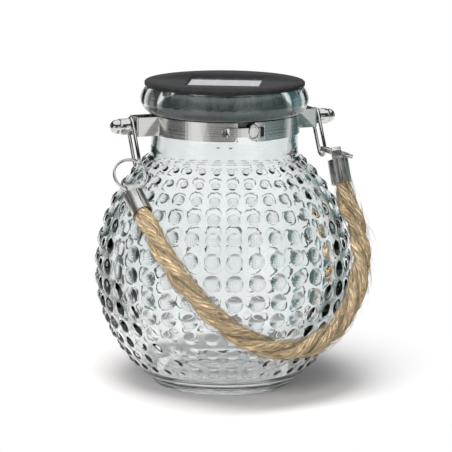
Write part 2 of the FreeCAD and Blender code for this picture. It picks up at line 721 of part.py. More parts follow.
def plug_housing():
    """The round cup for the electrics, with its posts, ribs, screw bosses and openings."""
    cup = Part.makeCylinder(SPIGOT_R, PLUG_H, V(0, 0, PLUG_Z), UP)
    rims = [edge for edge in cup.Edges if isinstance(edge.Curve, Part.Circle)]
    low_rim = [edge for edge in rims if edge.CenterOfMass.z < PLUG_FLOOR]
    cup = cup.makeChamfer(PLUG_EDGE, low_rim)
    hollow = Part.makeCylinder(SPIGOT_R - PLUG_WALL, PLUG_H, V(0, 0, PLUG_FLOOR), UP)
    cup = cup.cut(hollow)
    added = []
    taken = []
    rib_x = BATTERY_L / 2 + BATTERY_TIP_L + CONTACT_T + RIB_T / 2
    for way in (-1, 1):
        added.append(post(BOSS_D, PLUG_H - PLUG_WALL, way * BOSS_X, BOSS_Y, PLUG_FLOOR))
        shaft_d = SMALL_SCREW_D + 2 * SMALL_SCREW_PLAY
        head_d = SMALL_SCREW_HEAD_D + 2 * SMALL_SCREW_PLAY
        taken.append(post(shaft_d, PLUG_H, way * BOSS_X, BOSS_Y, PLUG_Z))
        taken.append(post(head_d, SMALL_SCREW_HEAD_H, way * BOSS_X, BOSS_Y, PLUG_Z))
        added.append(box(RIB_T, CONTACT_W, BATTERY_D + BATTERY_LIFT, way * rib_x, BATTERY_Y, PLUG_FLOOR))
        post_x = way * (BOARD_L - POST_D) / 2
        added.append(post(POST_D, BOARD_LIFT, post_x, BOARD_Y + (BOARD_W - POST_D) / 2, PLUG_FLOOR))
    door_hole = box(DOOR_L + 2 * DOOR_PLAY, DOOR_W + 2 * DOOR_PLAY, PLUG_WALL, 0, BATTERY_Y, PLUG_Z)
    taken.append(door_hole)
    taken.append(post(LED_D + 2 * LED_PLAY, PLUG_WALL, LED_X, BOARD_Y, PLUG_Z))
    slot_l = KNOB_L + KNOB_TRAVEL + 2 * KNOB_PLAY
    taken.append(box(slot_l, KNOB_W + 2 * KNOB_PLAY, PLUG_WALL, SWITCH_X, BOARD_Y, PLUG_Z))
    return in_lid(cup.multiFuse(added).removeSplitter().cut(taken))


def circuit_board():
    """The board over the lamp and the switch."""
    return in_lid(box(BOARD_L, BOARD_W, BOARD_T, 0, BOARD_Y, BOARD_Z))


def led_lamp():
    """A round-nosed lamp on two leads, pointing down through the plug's floor."""
    top = BOARD_Z - LED_LEAD_L
    nose = top - LED_H + LED_D / 2
    lamp = post(LED_FLANGE_D, LED_FLANGE_T, LED_X, BOARD_Y, top - LED_FLANGE_T)
    lamp = lamp.fuse(post(LED_D, LED_H - LED_D / 2, LED_X, BOARD_Y, nose))
    lamp = lamp.fuse(Part.makeSphere(LED_D / 2, V(LED_X, BOARD_Y, nose), V(0, 0, -1), 0, 90, 360))
    for way in (-1, 1):
        lamp = lamp.fuse(box(LEAD_T, LEAD_T, LED_LEAD_L, LED_X + way * LEAD_PITCH / 2, BOARD_Y, top))
    return in_lid(lamp.removeSplitter())


def switch_body():
    """The slide switch's case under the board, open below for its knob."""
    case = box(SWITCH_L, SWITCH_W, SWITCH_H, SWITCH_X, BOARD_Y, BOARD_Z - SWITCH_H)
    channel_l = KNOB_L + KNOB_TRAVEL + 2 * KNOB_PLAY
    channel_w = KNOB_W + 2 * KNOB_PLAY
    channel = box(channel_l, channel_w, KNOB_DEPTH + KNOB_PLAY, SWITCH_X, BOARD_Y, BOARD_Z - SWITCH_H)
    return in_lid(case.cut(channel))


def switch_slider():
    """The switch's knob, at the off end of its slot, reaching out below the plug."""
    low = PLUG_Z - KNOB_OUT
    high = BOARD_Z - SWITCH_H + KNOB_DEPTH
    return in_lid(box(KNOB_L, KNOB_W, high - low, SWITCH_X - KNOB_TRAVEL / 2, BOARD_Y, low))


def battery():
    """A small round cell that lies along X with its tip to the right."""
    axis_z = PLUG_FLOOR + BATTERY_LIFT + BATTERY_D / 2
    cell_start = V(-BATTERY_L / 2 - BATTERY_TIP_L, BATTERY_Y, axis_z)
    cell = Part.makeCylinder(BATTERY_D / 2, BATTERY_L, cell_start, ALONG_X)
    tip_start = V(BATTERY_L / 2 - BATTERY_TIP_L, BATTERY_Y, axis_z)
    tip = Part.makeCylinder(BATTERY_TIP_D / 2, 2 * BATTERY_TIP_L, tip_start, ALONG_X)
    return in_lid(cell.fuse(tip).removeSplitter())


def battery_contact(way):
    """A flat spring contact between the cell and its rib."""
    x = way * (BATTERY_L / 2 + BATTERY_TIP_L + CONTACT_T / 2)
    return in_lid(box(CONTACT_T, CONTACT_W, BATTERY_D, x, BATTERY_Y, PLUG_FLOOR + BATTERY_LIFT))


def battery_door():
    """The flush door under the cell, with a raised grip."""
    door = box(DOOR_L, DOOR_W, PLUG_WALL, 0, BATTERY_Y, PLUG_Z)
    grip = post(DOOR_GRIP_D, DOOR_GRIP_H, 0, BATTERY_Y, PLUG_Z - DOOR_GRIP_H)
    return in_lid(door.fuse(grip).removeSplitter())


def housing_screw(way):
    """A small screw that holds the plug to the spigot."""
    shank_l = PLUG_H + SMALL_SCREW_BITE - SMALL_SCREW_HEAD_H
    screw = post(SMALL_SCREW_D, shank_l, way * BOSS_X, BOSS_Y, PLUG_Z + SMALL_SCREW_HEAD_H)
    head = post(SMALL_SCREW_HEAD_D, SMALL_SCREW_HEAD_H, way * BOSS_X, BOSS_Y, PLUG_Z)
    return in_lid(screw.fuse(head).removeSplitter())


def build():
    """Every piece by its node's name."""
    pieces = {
        "glass_jar": glass_jar(),
        "neck_band": neck_band(),
        "rope": rope(),
        "lid_plate": lid_plate(),
        "solar_panel": solar_panel(),
        "lid_seal": lid_seal(),
        "plug_housing": plug_housing(),
        "circuit_board": circuit_board(),
        "led_lamp": led_lamp(),
        "switch_body": switch_body(),
        "switch_slider": switch_slider(),
        "battery": battery(),
        "battery_door": battery_door(),
    }
    for name, chain in CHAIN.items():
        side = chain["side"]
        pieces["pivot_screw_" + name] = pivot_screw(side)
        pieces["cap_nut_" + name] = cap_nut(side)
        pieces["wire_link_" + name] = wire_link(side)
        pieces["split_ring_" + name] = split_ring(chain)
        pieces["rope_ferrule_" + name] = rope_ferrule(chain)
        pieces["battery_contact_" + name] = battery_contact(side)
        pieces["housing_screw_" + name] = housing_screw(side)
    return pieces


def main():
    os.makedirs("parts", exist_ok=True)
    for name, shape in build().items():
        shape.exportStep("parts/" + name + ".step")


if __name__ == "__main__":
    main()
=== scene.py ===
import math
import random

import bpy
from mathutils import Matrix, Vector


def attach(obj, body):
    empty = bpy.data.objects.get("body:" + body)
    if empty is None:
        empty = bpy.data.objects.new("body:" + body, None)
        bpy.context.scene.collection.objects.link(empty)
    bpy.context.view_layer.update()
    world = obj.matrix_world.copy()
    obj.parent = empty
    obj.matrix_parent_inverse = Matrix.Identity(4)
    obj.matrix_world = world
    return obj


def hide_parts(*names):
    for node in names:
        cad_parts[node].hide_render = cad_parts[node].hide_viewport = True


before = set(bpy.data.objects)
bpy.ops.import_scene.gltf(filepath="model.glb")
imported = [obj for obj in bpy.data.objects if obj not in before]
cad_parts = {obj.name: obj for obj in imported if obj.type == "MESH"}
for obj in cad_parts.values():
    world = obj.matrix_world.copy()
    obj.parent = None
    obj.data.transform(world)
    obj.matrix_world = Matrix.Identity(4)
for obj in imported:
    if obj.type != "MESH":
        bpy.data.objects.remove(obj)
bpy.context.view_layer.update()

bl_info = {
    "name": "Hobnail Jar Lantern",
    "version": (1, 0, 0),
    "blender": (4, 5, 0),
    "location": "View3D > Sidebar > Lantern",
    "description": "Dresses a hobnail glass jar lantern with a solar lid and a rope handle",
    "category": "Object",
}

HOBNAIL_COLUMNS = 36
FIRST_COLUMN = math.radians(3.0)
# Rows of hobnails above and below the widest point, and their pitch against the columns' pitch
UPPER_ROWS = (7, 0.96)
LOWER_ROWS = (6, 0.86)

# A hobnail's tile, with its dome's base as 1: the insets that draw the dome up are reaches and heights
TILE_SIDES = 16
TILE_BORDER = 2.0
TILE_DOME = [(0.80, 0.40), (0.50, 0.78)]
ROUND_STEPS = HOBNAIL_COLUMNS * TILE_SIDES // 4

# The jar's outline past the hobnails, as radii and heights. An arc is three points and a count of steps
SHOULDER_END = 0.0407
NECK_RADIUS = 0.0395
MOUTH_RADIUS = 0.0361
RIM_TOP = 0.161465
NECK_FILLET = ((0.0398, 0.1258), (NECK_RADIUS, 0.1279), 5)
NECK_HEIGHTS = (0.1332, 0.14, 0.1468)
RIM_ARCS = [
    ((NECK_RADIUS, 0.14727), (0.0434, 0.1494), (0.045, 0.1535), 8),
    ((0.045, 0.1535), (0.0443, 0.1578), (0.0424, 0.1607), 8),
    ((0.0424, 0.1607), (0.0418, 0.16125), (0.041, RIM_TOP), 3),
]
RIM_MIDDLE = (0.0392, RIM_TOP)
MOUTH_ARC = ((0.0374, RIM_TOP), (0.0364, 0.16105), (MOUTH_RADIUS, 0.1602), 4)
MOUTH_HEIGHTS = (0.152, 0.142, 0.1335)
INSIDE_LOW = 0.015
INSIDE_FLOOR = [(0.02, 0.0069), (0.008, 0.0068), (0.0, 0.0068)]
FOOT_LOW = 0.002
FOOT_UNDER = [(0.0325, 0.0), (0.0305, 0.0003), (0.027, 0.0011), (0.014, 0.0018), (0.0, 0.002)]

# The wire links, from the middle of one round end to the other, and the screws that they hang on
LINK_RADIUS = 0.00405
LINK_SPAN = 0.0185
LINK_LEAN = -29.5
LINK_REACH = 0.0534
SCREW_HEIGHT = 0.141965

# The split rings' wire, and where along its turns it crosses over
RING_STEPS = 128
RING_TURNS = 1.97
RING_CROSSING = 0.93
RING_CROSSING_SPAN = 0.14

# The clasp's lip, and a dark plate that paints the slot's shadow beside the tongue: bearing in degrees right
# of the front, reach and size
SLOT_LIP = (-0.6, 0.0413, (0.0027, 0.0037, 0.0045))
SLOT_SHADOW_PLATE = (6.2, 0.0414, (0.0022, 0.0050, 0.0009))

# The rope's strands and yarns. The offset, radius and depths are shares of a radius, and the rest are metres
STRANDS = 3
STRAND_SIDES = 36
YARNS = 6
YARN_LAY = 0.07
STRAND_OFFSET = 0.47
STRAND_RADIUS = 0.545
YARN_DEPTH = 0.11
FRAY_DEPTH = 0.022
FRAY_GAP = 0.0035
STATION_GAP = 0.0006

# Slow waves along a strand, as radians in a metre and size
TWIST_WAVE = (95, 0.2)
OFFSET_WAVE = (140, 0.06)
LONG_SWELL = (210, 0.03)
SHORT_SWELL = (480, 0.018)
YARN_WAVE = (260, 0.9)

# The loose fibres: most lie low on the rope and the rest stand up
FIBRE_STEPS = 4
FIBRE_MARGIN = 24
FIBRE_LENGTH = (0.004, 0.013)
FIBRE_WIDTH = (0.00008, 0.00018)
LOW_FIBRES = 0.85
LOW_LIFT = (0.1, 0.55)
HIGH_LIFT = (0.5, 1.0)

# The rope's route from the left ferrule to the right one, as control points in metres
ROPE_ROUTE = [
    (-0.059419, -0.022482, 0.108738),
    (-0.057499, -0.038161, 0.0968),
    (-0.0546, -0.0484, 0.086),
    (-0.048, -0.058, 0.0725),
    (-0.0385, -0.0658, 0.0585),
    (-0.025, -0.0706, 0.0455),
    (-0.0085, -0.072, 0.0355),
    (0.0095, -0.070, 0.0305),
    (0.027, -0.0665, 0.0328),
    (0.043, -0.061, 0.0415),
    (0.0555, -0.053, 0.0555),
    (0.0612, -0.0458, 0.072),
    (0.061, -0.0406, 0.0875),
    (0.055023, -0.035295, 0.103056),
    (0.054429, -0.027972, 0.121443),
]

# The studio's sides as glass and steel see them: degrees to the right of the camera, and light
SURROUND = [
    (-180.0, (0.95, 0.96, 0.97)),
    (-157.0, (0.92, 0.94, 0.95)),
    (-151.0, (0.28, 0.34, 0.31)),
    (-146.0, (0.04, 0.06, 0.05)),
    (-122.0, (0.05, 0.062, 0.055)),
    (-118.0, (0.85, 0.86, 0.86)),
    (-112.0, (0.85, 0.86, 0.86)),
    (-106.0, (0.02, 0.028, 0.024)),
    (-62.0, (0.03, 0.035, 0.03)),
    (-52.0, (0.95, 0.95, 0.93)),
    (-36.0, (1.0, 1.0, 0.98)),
    (-20.0, (0.16, 0.15, 0.14)),
    (14.0, (0.14, 0.13, 0.12)),
    (24.0, (0.85, 0.85, 0.84)),
    (44.0, (0.9, 0.9, 0.9)),
    (56.0, (0.10, 0.19, 0.19)),
    (104.0, (0.03, 0.07, 0.07)),
    (110.0, (0.8, 0.84, 0.84)),
    (116.0, (0.8, 0.84, 0.84)),
    (122.0, (0.05, 0.12, 0.12)),
    (146.0, (0.04, 0.11, 0.11)),
    (151.0, (0.24, 0.38, 0.39)),
    (157.0, (0.92, 0.94, 0.95)),
    (180.0, (0.95, 0.96, 0.97)),
]

# The surround's dark by height, as polished faces see it, with a strip lamp in it, and as glass does
DARK_HEIGHTS = [
    (0.19, 0.0, 0.0),
    (0.205, 1.0, 0.0),
    (0.24, 1.0, 0.0),
    (0.25, 0.0, 0.0),
    (0.27, 0.0, 1.0),
    (0.33, 0.0, 1.0),
    (0.35, 1.0, 1.0),
]

# Each split ring's middle and axis
RINGS = {
    "left": ((-0.058254, -0.014071, 0.118403), (0.075, 0.804, -0.59)),
    "right": ((0.057763, -0.018259, 0.124531), (0.26, -0.014, 0.966)),
}

# The floor, by distance from the jar's middle, the surround, and the camera, whose focal length is in pixels
FLOOR_COLOUR = (0.88, 0.86, 0.855)
GLOW_FADE = (0.045, 0.15)
DARK_FADE = (0.09, 0.15)
# The least glow: painted light on the floor under and beside the jar, the least white glow that glass sees
# there, for the light that comes through the glass.
LEAST_PAINTED_GLOW = 0.22
SURROUND_DARK = (0.035, 0.042, 0.038)
SURROUND_RADIUS = 0.7
SURROUND_HEIGHT = 0.75
LAMP_AIM = Vector((0, 0, 0.08))
SENSOR = 36.0
PICTURE = 452.0
FOCAL_LENGTH = 2217.0
PICTURE_MIDDLE = 223.7
CAMERA_ROLL = math.radians(0.42)
CAMERA_AIM = (0, 0, 0.0845)


def length_setting(label, note, metres):
    """A length for the panel."""
    return bpy.props.FloatProperty(name=label, description=note, default=metres, unit="LENGTH")


def colour_setting(label, note, colour):
    """A colour for the panel."""
    return bpy.props.FloatVectorProperty(name=label, description=note, subtype="COLOR", default=colour)


def power_setting(label, note, watts):
    """A lamp's power for the panel."""
    return bpy.props.FloatProperty(name=label, description=note, default=watts, unit="POWER")


def angle_setting(label, note, degrees):
    """An angle for the panel."""
    return bpy.props.FloatProperty(
        name=label, description=note, default=math.radians(degrees), subtype="ANGLE")


class LanternSizes(bpy.types.PropertyGroup):
    """Sizes of the pieces that this script models."""

    belly_radius: length_setting("Belly radius", "Glass at its widest, without hobnails", 0.0682)
    belly_height: length_setting("Belly height", "Height of the widest point", 0.062)
    shoulder_arc: length_setting("Shoulder arc", "Outline arc above the widest point", 0.0832)
    foot_arc: length_setting("Foot arc", "Outline arc below the widest point", 0.0766)
    wall: length_setting("Wall", "Thickness of the glass", 0.0034)
    hobnail_width: length_setting("Hobnail width", "Across a hobnail at the widest point", 0.0092)
    hobnail_height: length_setting("Hobnail height", "Height of a hobnail at the widest point", 0.0019)
    link_wire: length_setting("Link wire", "Diameter of the wire links", 0.0019)
    ring_wire: length_setting("Ring wire", "Diameter of the split rings' wire", 0.0012)
    ring_width: length_setting("Ring width", "Outer diameter of the split rings", 0.019)
    rope_width: length_setting("Rope width", "Diameter of the rope", 0.0096)
    rope_lay: length_setting("Rope lay", "Length of one turn of a strand", 0.06)
    fibre_count: bpy.props.IntProperty(
        name="Loose fibres", description="Fibres that stand off the rope", default=900, min=0)


class LanternColours(bpy.types.PropertyGroup):
    """Colours of the finishes."""

    glass: colour_setting("Glass", "Tint of the clear glass", (0.955, 0.975, 0.973))
    steel: colour_setting("Steel", "Polished and brushed steel", (0.72, 0.715, 0.70))
    jute_light: colour_setting("Jute light", "Outer fibres of the rope", (0.63, 0.475, 0.27))
    # The jute's painted shade: the colour of the painted shade on the fibres between the strands and yarns.
    jute_painted_shade: colour_setting("Jute dark", "Fibres between the strands", (0.15, 0.08, 0.034))
    plastic: colour_setting("Plastic", "Lid and plug", (0.014, 0.014, 0.015))
    cells: colour_setting("Solar cells", "Face of the solar panel", (0.05, 0.05, 0.085))


class LanternStage(bpy.types.PropertyGroup):
    """Lamps and camera."""

    key_power: power_setting("Key lamp", "Power of the large lamp", 16.0)
    fill_power: power_setting("Fill lamp", "Power of the small lamp", 9.0)
    camera_distance: length_setting("Camera distance", "From the camera to its aim", 1.2)
    camera_bearing: angle_setting("Camera bearing", "Camera's turn about the jar", -22.0)
    camera_pitch: angle_setting("Camera pitch", "Camera's tilt down", 11.46)


def start_clean():
    """Leaves edit mode with nothing selected."""
    if bpy.context.mode != "OBJECT":
        bpy.ops.object.mode_set(mode="OBJECT")
    bpy.ops.object.select_all(action="DESELECT")


def active_piece(name):
    """Names the newest object and its mesh."""
    piece = bpy.context.object
    piece.name = name
    piece.data.name = name
    return piece


def new_piece(name, data):
    """Adds an object to the scene."""
    piece = bpy.data.objects.new(name, data)
    bpy.context.collection.objects.link(piece)
    return piece


def edit(piece):
    """Opens one piece in edit mode with all of it selected."""
    start_clean()
    piece.select_set(True)
    bpy.context.view_layer.objects.active = piece
    bpy.ops.object.mode_set(mode="EDIT")
    bpy.ops.mesh.select_all(action="SELECT")


def close_edit(piece, angle=40.0):
    """Leaves edit mode and smooths the faces that meet at less than an angle."""
    bpy.ops.object.mode_set(mode="OBJECT")
    bpy.ops.object.shade_smooth_by_angle(angle=math.radians(angle))
    piece.select_set(False)


def smooth_outward(piece, angle):
    """Turns a piece's faces outward and smooths them."""
    edit(piece)
    bpy.ops.mesh.normals_make_consistent(inside=False)
    close_edit(piece, angle)


def place(piece, matrix):
    """Moves a piece's own mesh, so that its object stays at the origin."""
    piece.data.transform(piece.matrix_basis)
    piece.matrix_basis = Matrix.Identity(4)
    piece.data.transform(matrix)
    piece.data.update()


def dress(piece, material, body, *nodes):
    """Gives a piece its finish, its body and the solids that it stands for."""
    piece.data.materials.clear()
    piece.data.materials.append(material)
    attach(piece, body)
    if nodes:
        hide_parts(*nodes)


def ease(share):
    """A share from 0 to 1 with a soft start and end."""
    share = min(max(share, 0.0), 1.0)
    return share * share * (3 - 2 * share)


def shaded(colour, factor):
    """A colour made darker or lighter."""
    return tuple(min(1.0, value * factor) for value in colour)


def add_node(tree, kind, inputs=None, **settings):
    """A node with its settings. Each input is joined to a socket, or set to a number, vector or colour."""
    node = tree.nodes.new(kind)
    for name, value in settings.items():
        setattr(node, name, value)
    for name, value in (inputs or {}).items():
        socket = node.inputs[name]
        if isinstance(value, bpy.types.NodeSocket):
            tree.links.new(value, socket)
        elif isinstance(value, tuple) and len(socket.default_value) == 4:
            socket.default_value = (*value, 1.0)
        else:
            socket.default_value = value
    return node


def math_node(tree, operation, first, second):
    """One step of arithmetic."""
    return add_node(tree, "ShaderNodeMath", {0: first, 1: second}, operation=operation).outputs[0]


def mix_node(tree, mask, first, second, kind="RGBA"):
    """Two colours or values mixed by a mask."""
    return add_node(
        tree, "ShaderNodeMix", {"Factor": mask, "A": first, "B": second}, data_type=kind).outputs["Result"]


def range_node(tree, value, low, high, kind="LINEAR"):
    """A value's place between two limits."""
    limits = {"Value": value, "From Min": low, "From Max": high}
    return add_node(tree, "ShaderNodeMapRange", limits, interpolation_type=kind).outputs["Result"]


def shade_surface(tree, mask, first, second, output):
    """Ends a material or a world in two shaders mixed by a mask."""
    node = add_node(tree, "ShaderNodeMixShader", {"Fac": mask, 1: first, 2: second})
    tree.links.new(node.outputs["Shader"], tree.nodes[output].inputs["Surface"])


def node_material(name):
    """A material and its node tree."""
    material = bpy.data.materials.new(name)
    material.use_nodes = True
    return material, material.node_tree


def group_socket(group, name, kind, way, default=None):
    """Adds a socket to a node group."""
    socket = group.interface.new_socket(name=name, in_out=way, socket_type=kind)
    if default is not None:
        socket.default_value = default


def streak_group():
    """Noise drawn out along one direction, for brushed metal, fibres and faint ripples."""
    name = "DrawnNoise"
    if name in bpy.data.node_groups:
        return bpy.data.node_groups[name]
    group = bpy.data.node_groups.new(name, "ShaderNodeTree")
    group_socket(group, "Vector", "NodeSocketVector", "INPUT")
    group_socket(group, "Stretch", "NodeSocketVector", "INPUT", (1.0, 1.0, 1.0))
    group_socket(group, "Scale", "NodeSocketFloat", "INPUT", 100.0)
    group_socket(group, "Low", "NodeSocketFloat", "INPUT", 0.35)
    group_socket(group, "High", "NodeSocketFloat", "INPUT", 0.65)
    group_socket(group, "Mask", "NodeSocketFloat", "OUTPUT")
    given = group.nodes.new("NodeGroupInput").outputs
    factors = {0: given["Vector"], 1: given["Stretch"]}
    stretch = add_node(group, "ShaderNodeVectorMath", factors, operation="MULTIPLY").outputs[0]
    inputs = {"Vector": stretch, "Scale": given["Scale"], "Detail": 4.0}
    noise = add_node(group, "ShaderNodeTexNoise", inputs)
    mask = range_node(group, noise.outputs["Fac"], given["Low"], given["High"], "SMOOTHSTEP")
    add_node(group, "NodeGroupOutput", {"Mask": mask})
    return group


class Finish:
    """A material with a Principled shader and short ways to wire it."""

    def __init__(self, name):
        self.material, self.tree = node_material(name)
        self.nodes = self.tree.nodes
        self.join = self.tree.links.new
        self.shader = self.nodes["Principled BSDF"]
        self.where = self.nodes.new("ShaderNodeTexCoord").outputs["Object"]

    def put(self, **values):
        for name, value in values.items():
            socket = self.shader.inputs[name.replace("_", " ").title().replace("Ior", "IOR")]
            socket.default_value = (*value, 1.0) if isinstance(value, (tuple, list)) else value

    def streaks(self, scale, stretch=(1, 1, 1), low=0.35, high=0.65, where=None):
        inputs = {"Vector": where or self.where, "Scale": scale, "Stretch": stretch, "Low": low, "High": high}
        return add_node(self.tree, "ShaderNodeGroup", inputs, node_tree=streak_group()).outputs["Mask"]

    def blend(self, mask, first, second, target="Base Color"):
        mixed = mix_node(self.tree, mask, first, second)
        if target:
            self.join(mixed, self.shader.inputs[target])
        return mixed

    def spread(self, mask, low, high, target):
        span = add_node(self.tree, "ShaderNodeMapRange", {"Value": mask, "To Min": low, "To Max": high})
        self.join(span.outputs["Result"], self.shader.inputs[target])

    def bump(self, height, strength, distance):
        inputs = {"Height": height, "Strength": strength, "Distance": distance}
        node = add_node(self.tree, "ShaderNodeBump", inputs)
        self.join(node.outputs["Normal"], self.shader.inputs["Normal"])


def colours():
    """The lantern's colour settings."""
    return bpy.context.scene.lantern_colours


def sizes():
    """The lantern's size settings."""
    return bpy.context.scene.lantern_sizes


def finish_once(make):
    """A finish, made the first time that it is asked for, apart from the CAD's own plain colours."""
    name = make.__name__ + "_finish"
    return bpy.data.materials.get(name) or make(name)


def streaked(name, drawn, first, second, rough=None, bump=None, **settings):
    """A finish that drawn noise varies: two colours, and perhaps two roughnesses and a bump."""
    look = Finish(name)
    mask = look.streaks(*drawn)
    look.blend(mask, first, second)
    if rough:
        look.spread(mask, *rough, "Roughness")
    if bump:
        look.bump(mask, *bump)
    look.put(**settings)
    return look.material


def clear_glass(name):
    """Moulded glass with a faint green-grey tint and slight ripples."""
    tint = tuple(colours().glass)
    return streaked(
        name, (60.0, (1, 1, 0.6), 0.2, 0.8), tint, shaded(tint, 0.985), bump=(0.06, 0.0012),
        metallic=0.0, transmission_weight=1.0, ior=1.5, roughness=0.0)


def brushed_steel(name):
    """Stainless strip with fine lines along its length."""
    steel = tuple(colours().steel)
    return streaked(
        name, (60.0, (0.35, 0.35, 40.0), 0.3, 0.7), shaded(steel, 0.96), shaded(steel, 1.04), (0.15, 0.22),
        (0.02, 0.0002), metallic=1.0)


def polished_steel(name):
    """Bright plated wire and nuts with faint handling marks."""
    steel = tuple(colours().steel)
    return streaked(
        name, (320.0, (1, 1, 1), 0.45, 0.75), steel, shaded(steel, 0.86), (0.08, 0.2), metallic=1.0)


def rolled_steel(name):
    """Bright sheet with the soft sheen of rolling."""
    steel = tuple(colours().steel)
    return streaked(name, (180.0,), shaded(steel, 1.04), shaded(steel, 1.14), (0.26, 0.36), metallic=1.0)


def dark_plastic(name):
    """Matte moulded plastic with a fine spark-eroded grain."""
    base = tuple(colours().plastic)
    return streaked(
        name, (1800.0, (1, 1, 1), 0.3, 0.7), base, shaded(base, 1.35), (0.42, 0.58), (0.25, 0.00008),
        specular_ior_level=0.16)


def solar_cells(name):
    """Dark cells under a clear face, with thin current lines."""
    look = Finish(name)
    base = tuple(colours().cells)
    look.put(coat_weight=1.0, coat_roughness=0.03, roughness=0.25)
    turn = {"Vector": look.where, "Rotation": (0.0, 0.0, math.radians(27.0))}
    turned = add_node(look.tree, "ShaderNodeMapping", turn).outputs["Vector"]
    lines = add_node(
        look.tree, "ShaderNodeTexWave", {"Vector": turned, "Scale": 31.0},
        wave_type="BANDS", bands_direction="X", wave_profile="SIN")
    thin = range_node(look.tree, lines.outputs["Fac"], 0.985, 1.0)
    look.blend(thin, base, (0.30, 0.30, 0.36))
    return look.material


def soft_rubber(name):
    """Grey silicone."""
    return streaked(name, (240.0,), (0.44, 0.52, 0.56), (0.50, 0.58, 0.62), (0.45, 0.6))


def board_laminate(name):
    """Green circuit board with a faint weave."""
    return streaked(name, (900.0, (1, 6, 1)), (0.02, 0.10, 0.04), (0.03, 0.15, 0.06), roughness=0.35)


def clear_resin(name):
    """The lamp's water-clear resin."""
    return streaked(
        name, (500.0,), (0.9, 0.9, 0.86), (0.84, 0.85, 0.8),
        roughness=0.1, transmission_weight=0.6, ior=1.5)


def cell_sleeve(name):
    """The battery's shrunk sleeve."""
    return streaked(
        name, (200.0, (0.3, 1, 1)), (0.06, 0.16, 0.09), (0.09, 0.22, 0.12),
        bump=(0.1, 0.0001), roughness=0.25)


def spring_brass(name):
    """Plain brass contacts."""
    return streaked(name, (300.0,), (0.6, 0.45, 0.2), (0.5, 0.36, 0.15), (0.25, 0.4), metallic=1.0)


def jute(name):
    """Rough plant fibre: long fine lines along each strand, painted shade between the strands and yarns, and
    dark spots of painted shade in the small gaps between fibres.
    """
    look = Finish(name)
    light = tuple(colours().jute_light)
    dark = tuple(colours().jute_painted_shade)
    along = look.nodes.new("ShaderNodeUVMap").outputs["UV"]
    fibres = look.streaks(1.0, (1.7, 24.0, 1.0), 0.38, 0.62, along)
    # Dark spots: painted shade in small gaps between the fibres.
    gap_shade_mask = look.streaks(1.0, (2.2, 19.0, 1.0), 0.55, 0.63, along)
    # The mask of painted shade between the strands and yarns, made with the rope.
    shade = add_node(look.tree, "ShaderNodeAttribute", attribute_name="painted_groove_shade")
    gap_shade = (light[0] * 0.30, light[1] * 0.25, light[2] * 0.22)
    lined = look.blend(fibres, shaded(light, 0.62), shaded(light, 1.4), None)
    gap_shaded = look.blend(math_node(look.tree, "MULTIPLY", gap_shade_mask, 0.8), lined, gap_shade, None)
    look.blend(shade.outputs["Fac"], gap_shaded, dark)
    look.put(roughness=0.9, sheen_weight=0.25, sheen_roughness=0.5)
    look.bump(fibres, 0.9, 0.001)
    return look.material


def arc_through(start, middle, end, steps):
    """Points of the circle through three points, given as radius and height."""
    (ax, ay), (bx, by), (cx, cy) = start, middle, end
    d = 2 * (ax * (by - cy) + bx * (cy - ay) + cx * (ay - by))
    a, b, c = ax * ax + ay * ay, bx * bx + by * by, cx * cx + cy * cy
    ux = (a * (by - cy) + b * (cy - ay) + c * (ay - by)) / d
    uy = (a * (cx - bx) + b * (ax - cx) + c * (bx - ax)) / d
    radius = math.hypot(ax - ux, ay - uy)
    first = math.atan2(ay - uy, ax - ux)
    mid = math.atan2(by - uy, bx - ux)
    last = math.atan2(cy - uy, cx - ux)
    turn = (last - first) % (2 * math.pi)
    if (mid - first) % (2 * math.pi) > turn:
        turn -= 2 * math.pi
    points = []
    for step in range(steps + 1):
        angle = first + turn * step / steps
        points.append((ux + radius * math.cos(angle), uy + radius * math.sin(angle)))
    return points


def arc_point(centre, arc, angle, height):
    """A point of an outline arc, by its angle above the widest point."""
    return centre + arc * math.cos(angle), height + arc * math.sin(angle)


def row_angles(centre, arc, rows, pitch):
    """Angles of the hobnail rows on one outline arc."""
    angles = []
    angle = 0.0
    for row in range(rows):
        radius = centre + arc * math.cos(angle)
        step = pitch * 2 * math.pi * radius / HOBNAIL_COLUMNS / arc
        angle += step / 2 if row == 0 else step
        angles.append(angle)
    return angles


def tile_reach(vertex):
    """How far a tile's vertex is from its middle."""
    return math.hypot(vertex.co.x, vertex.co.y)


def hobnail_tile():
    """A flat round tile drawn up into a dome by insets, with a square border twice as wide as the dome."""
    start_clean()
    bpy.ops.mesh.primitive_circle_add(vertices=TILE_SIDES, radius=1.0, fill_type="NGON")
    tile = active_piece("hobnail_tile")
    edit(tile)
    reach, level = 1.0, 0.0
    flat = math.cos(math.pi / TILE_SIDES)
    for next_reach, next_level in TILE_DOME:
        bpy.ops.mesh.inset(thickness=(reach - next_reach) * flat, depth=0.0)
        bpy.ops.transform.translate(value=(0, 0, next_level - level))
        reach, level = next_reach, next_level
    bpy.ops.mesh.poke(offset=0.0)
    bpy.ops.mesh.select_all(action="DESELECT")
    bpy.ops.object.mode_set(mode="OBJECT")
    vertices = tile.data.vertices
    min(vertices, key=tile_reach).co.z = 1.0
    for edge in tile.data.edges:
        edge.select = all(tile_reach(vertices[index]) > 0.95 for index in edge.vertices)
    bpy.ops.object.mode_set(mode="EDIT")
    bpy.ops.mesh.select_mode(type="EDGE")
    bpy.ops.mesh.extrude_edges_move(TRANSFORM_OT_translate={"value": (0, 0, 0)})
    bpy.ops.transform.resize(value=(TILE_BORDER, TILE_BORDER, 1.0))
    bpy.ops.object.mode_set(mode="OBJECT")
    for vertex in tile.data.vertices:
        if tile_reach(vertex) > (1 + TILE_BORDER) / 2:
            step = round(math.atan2(vertex.co.y, vertex.co.x) * TILE_SIDES / (2 * math.pi)) % TILE_SIDES
            vertex.co.x, vertex.co.y = square_point(step)
    return tile


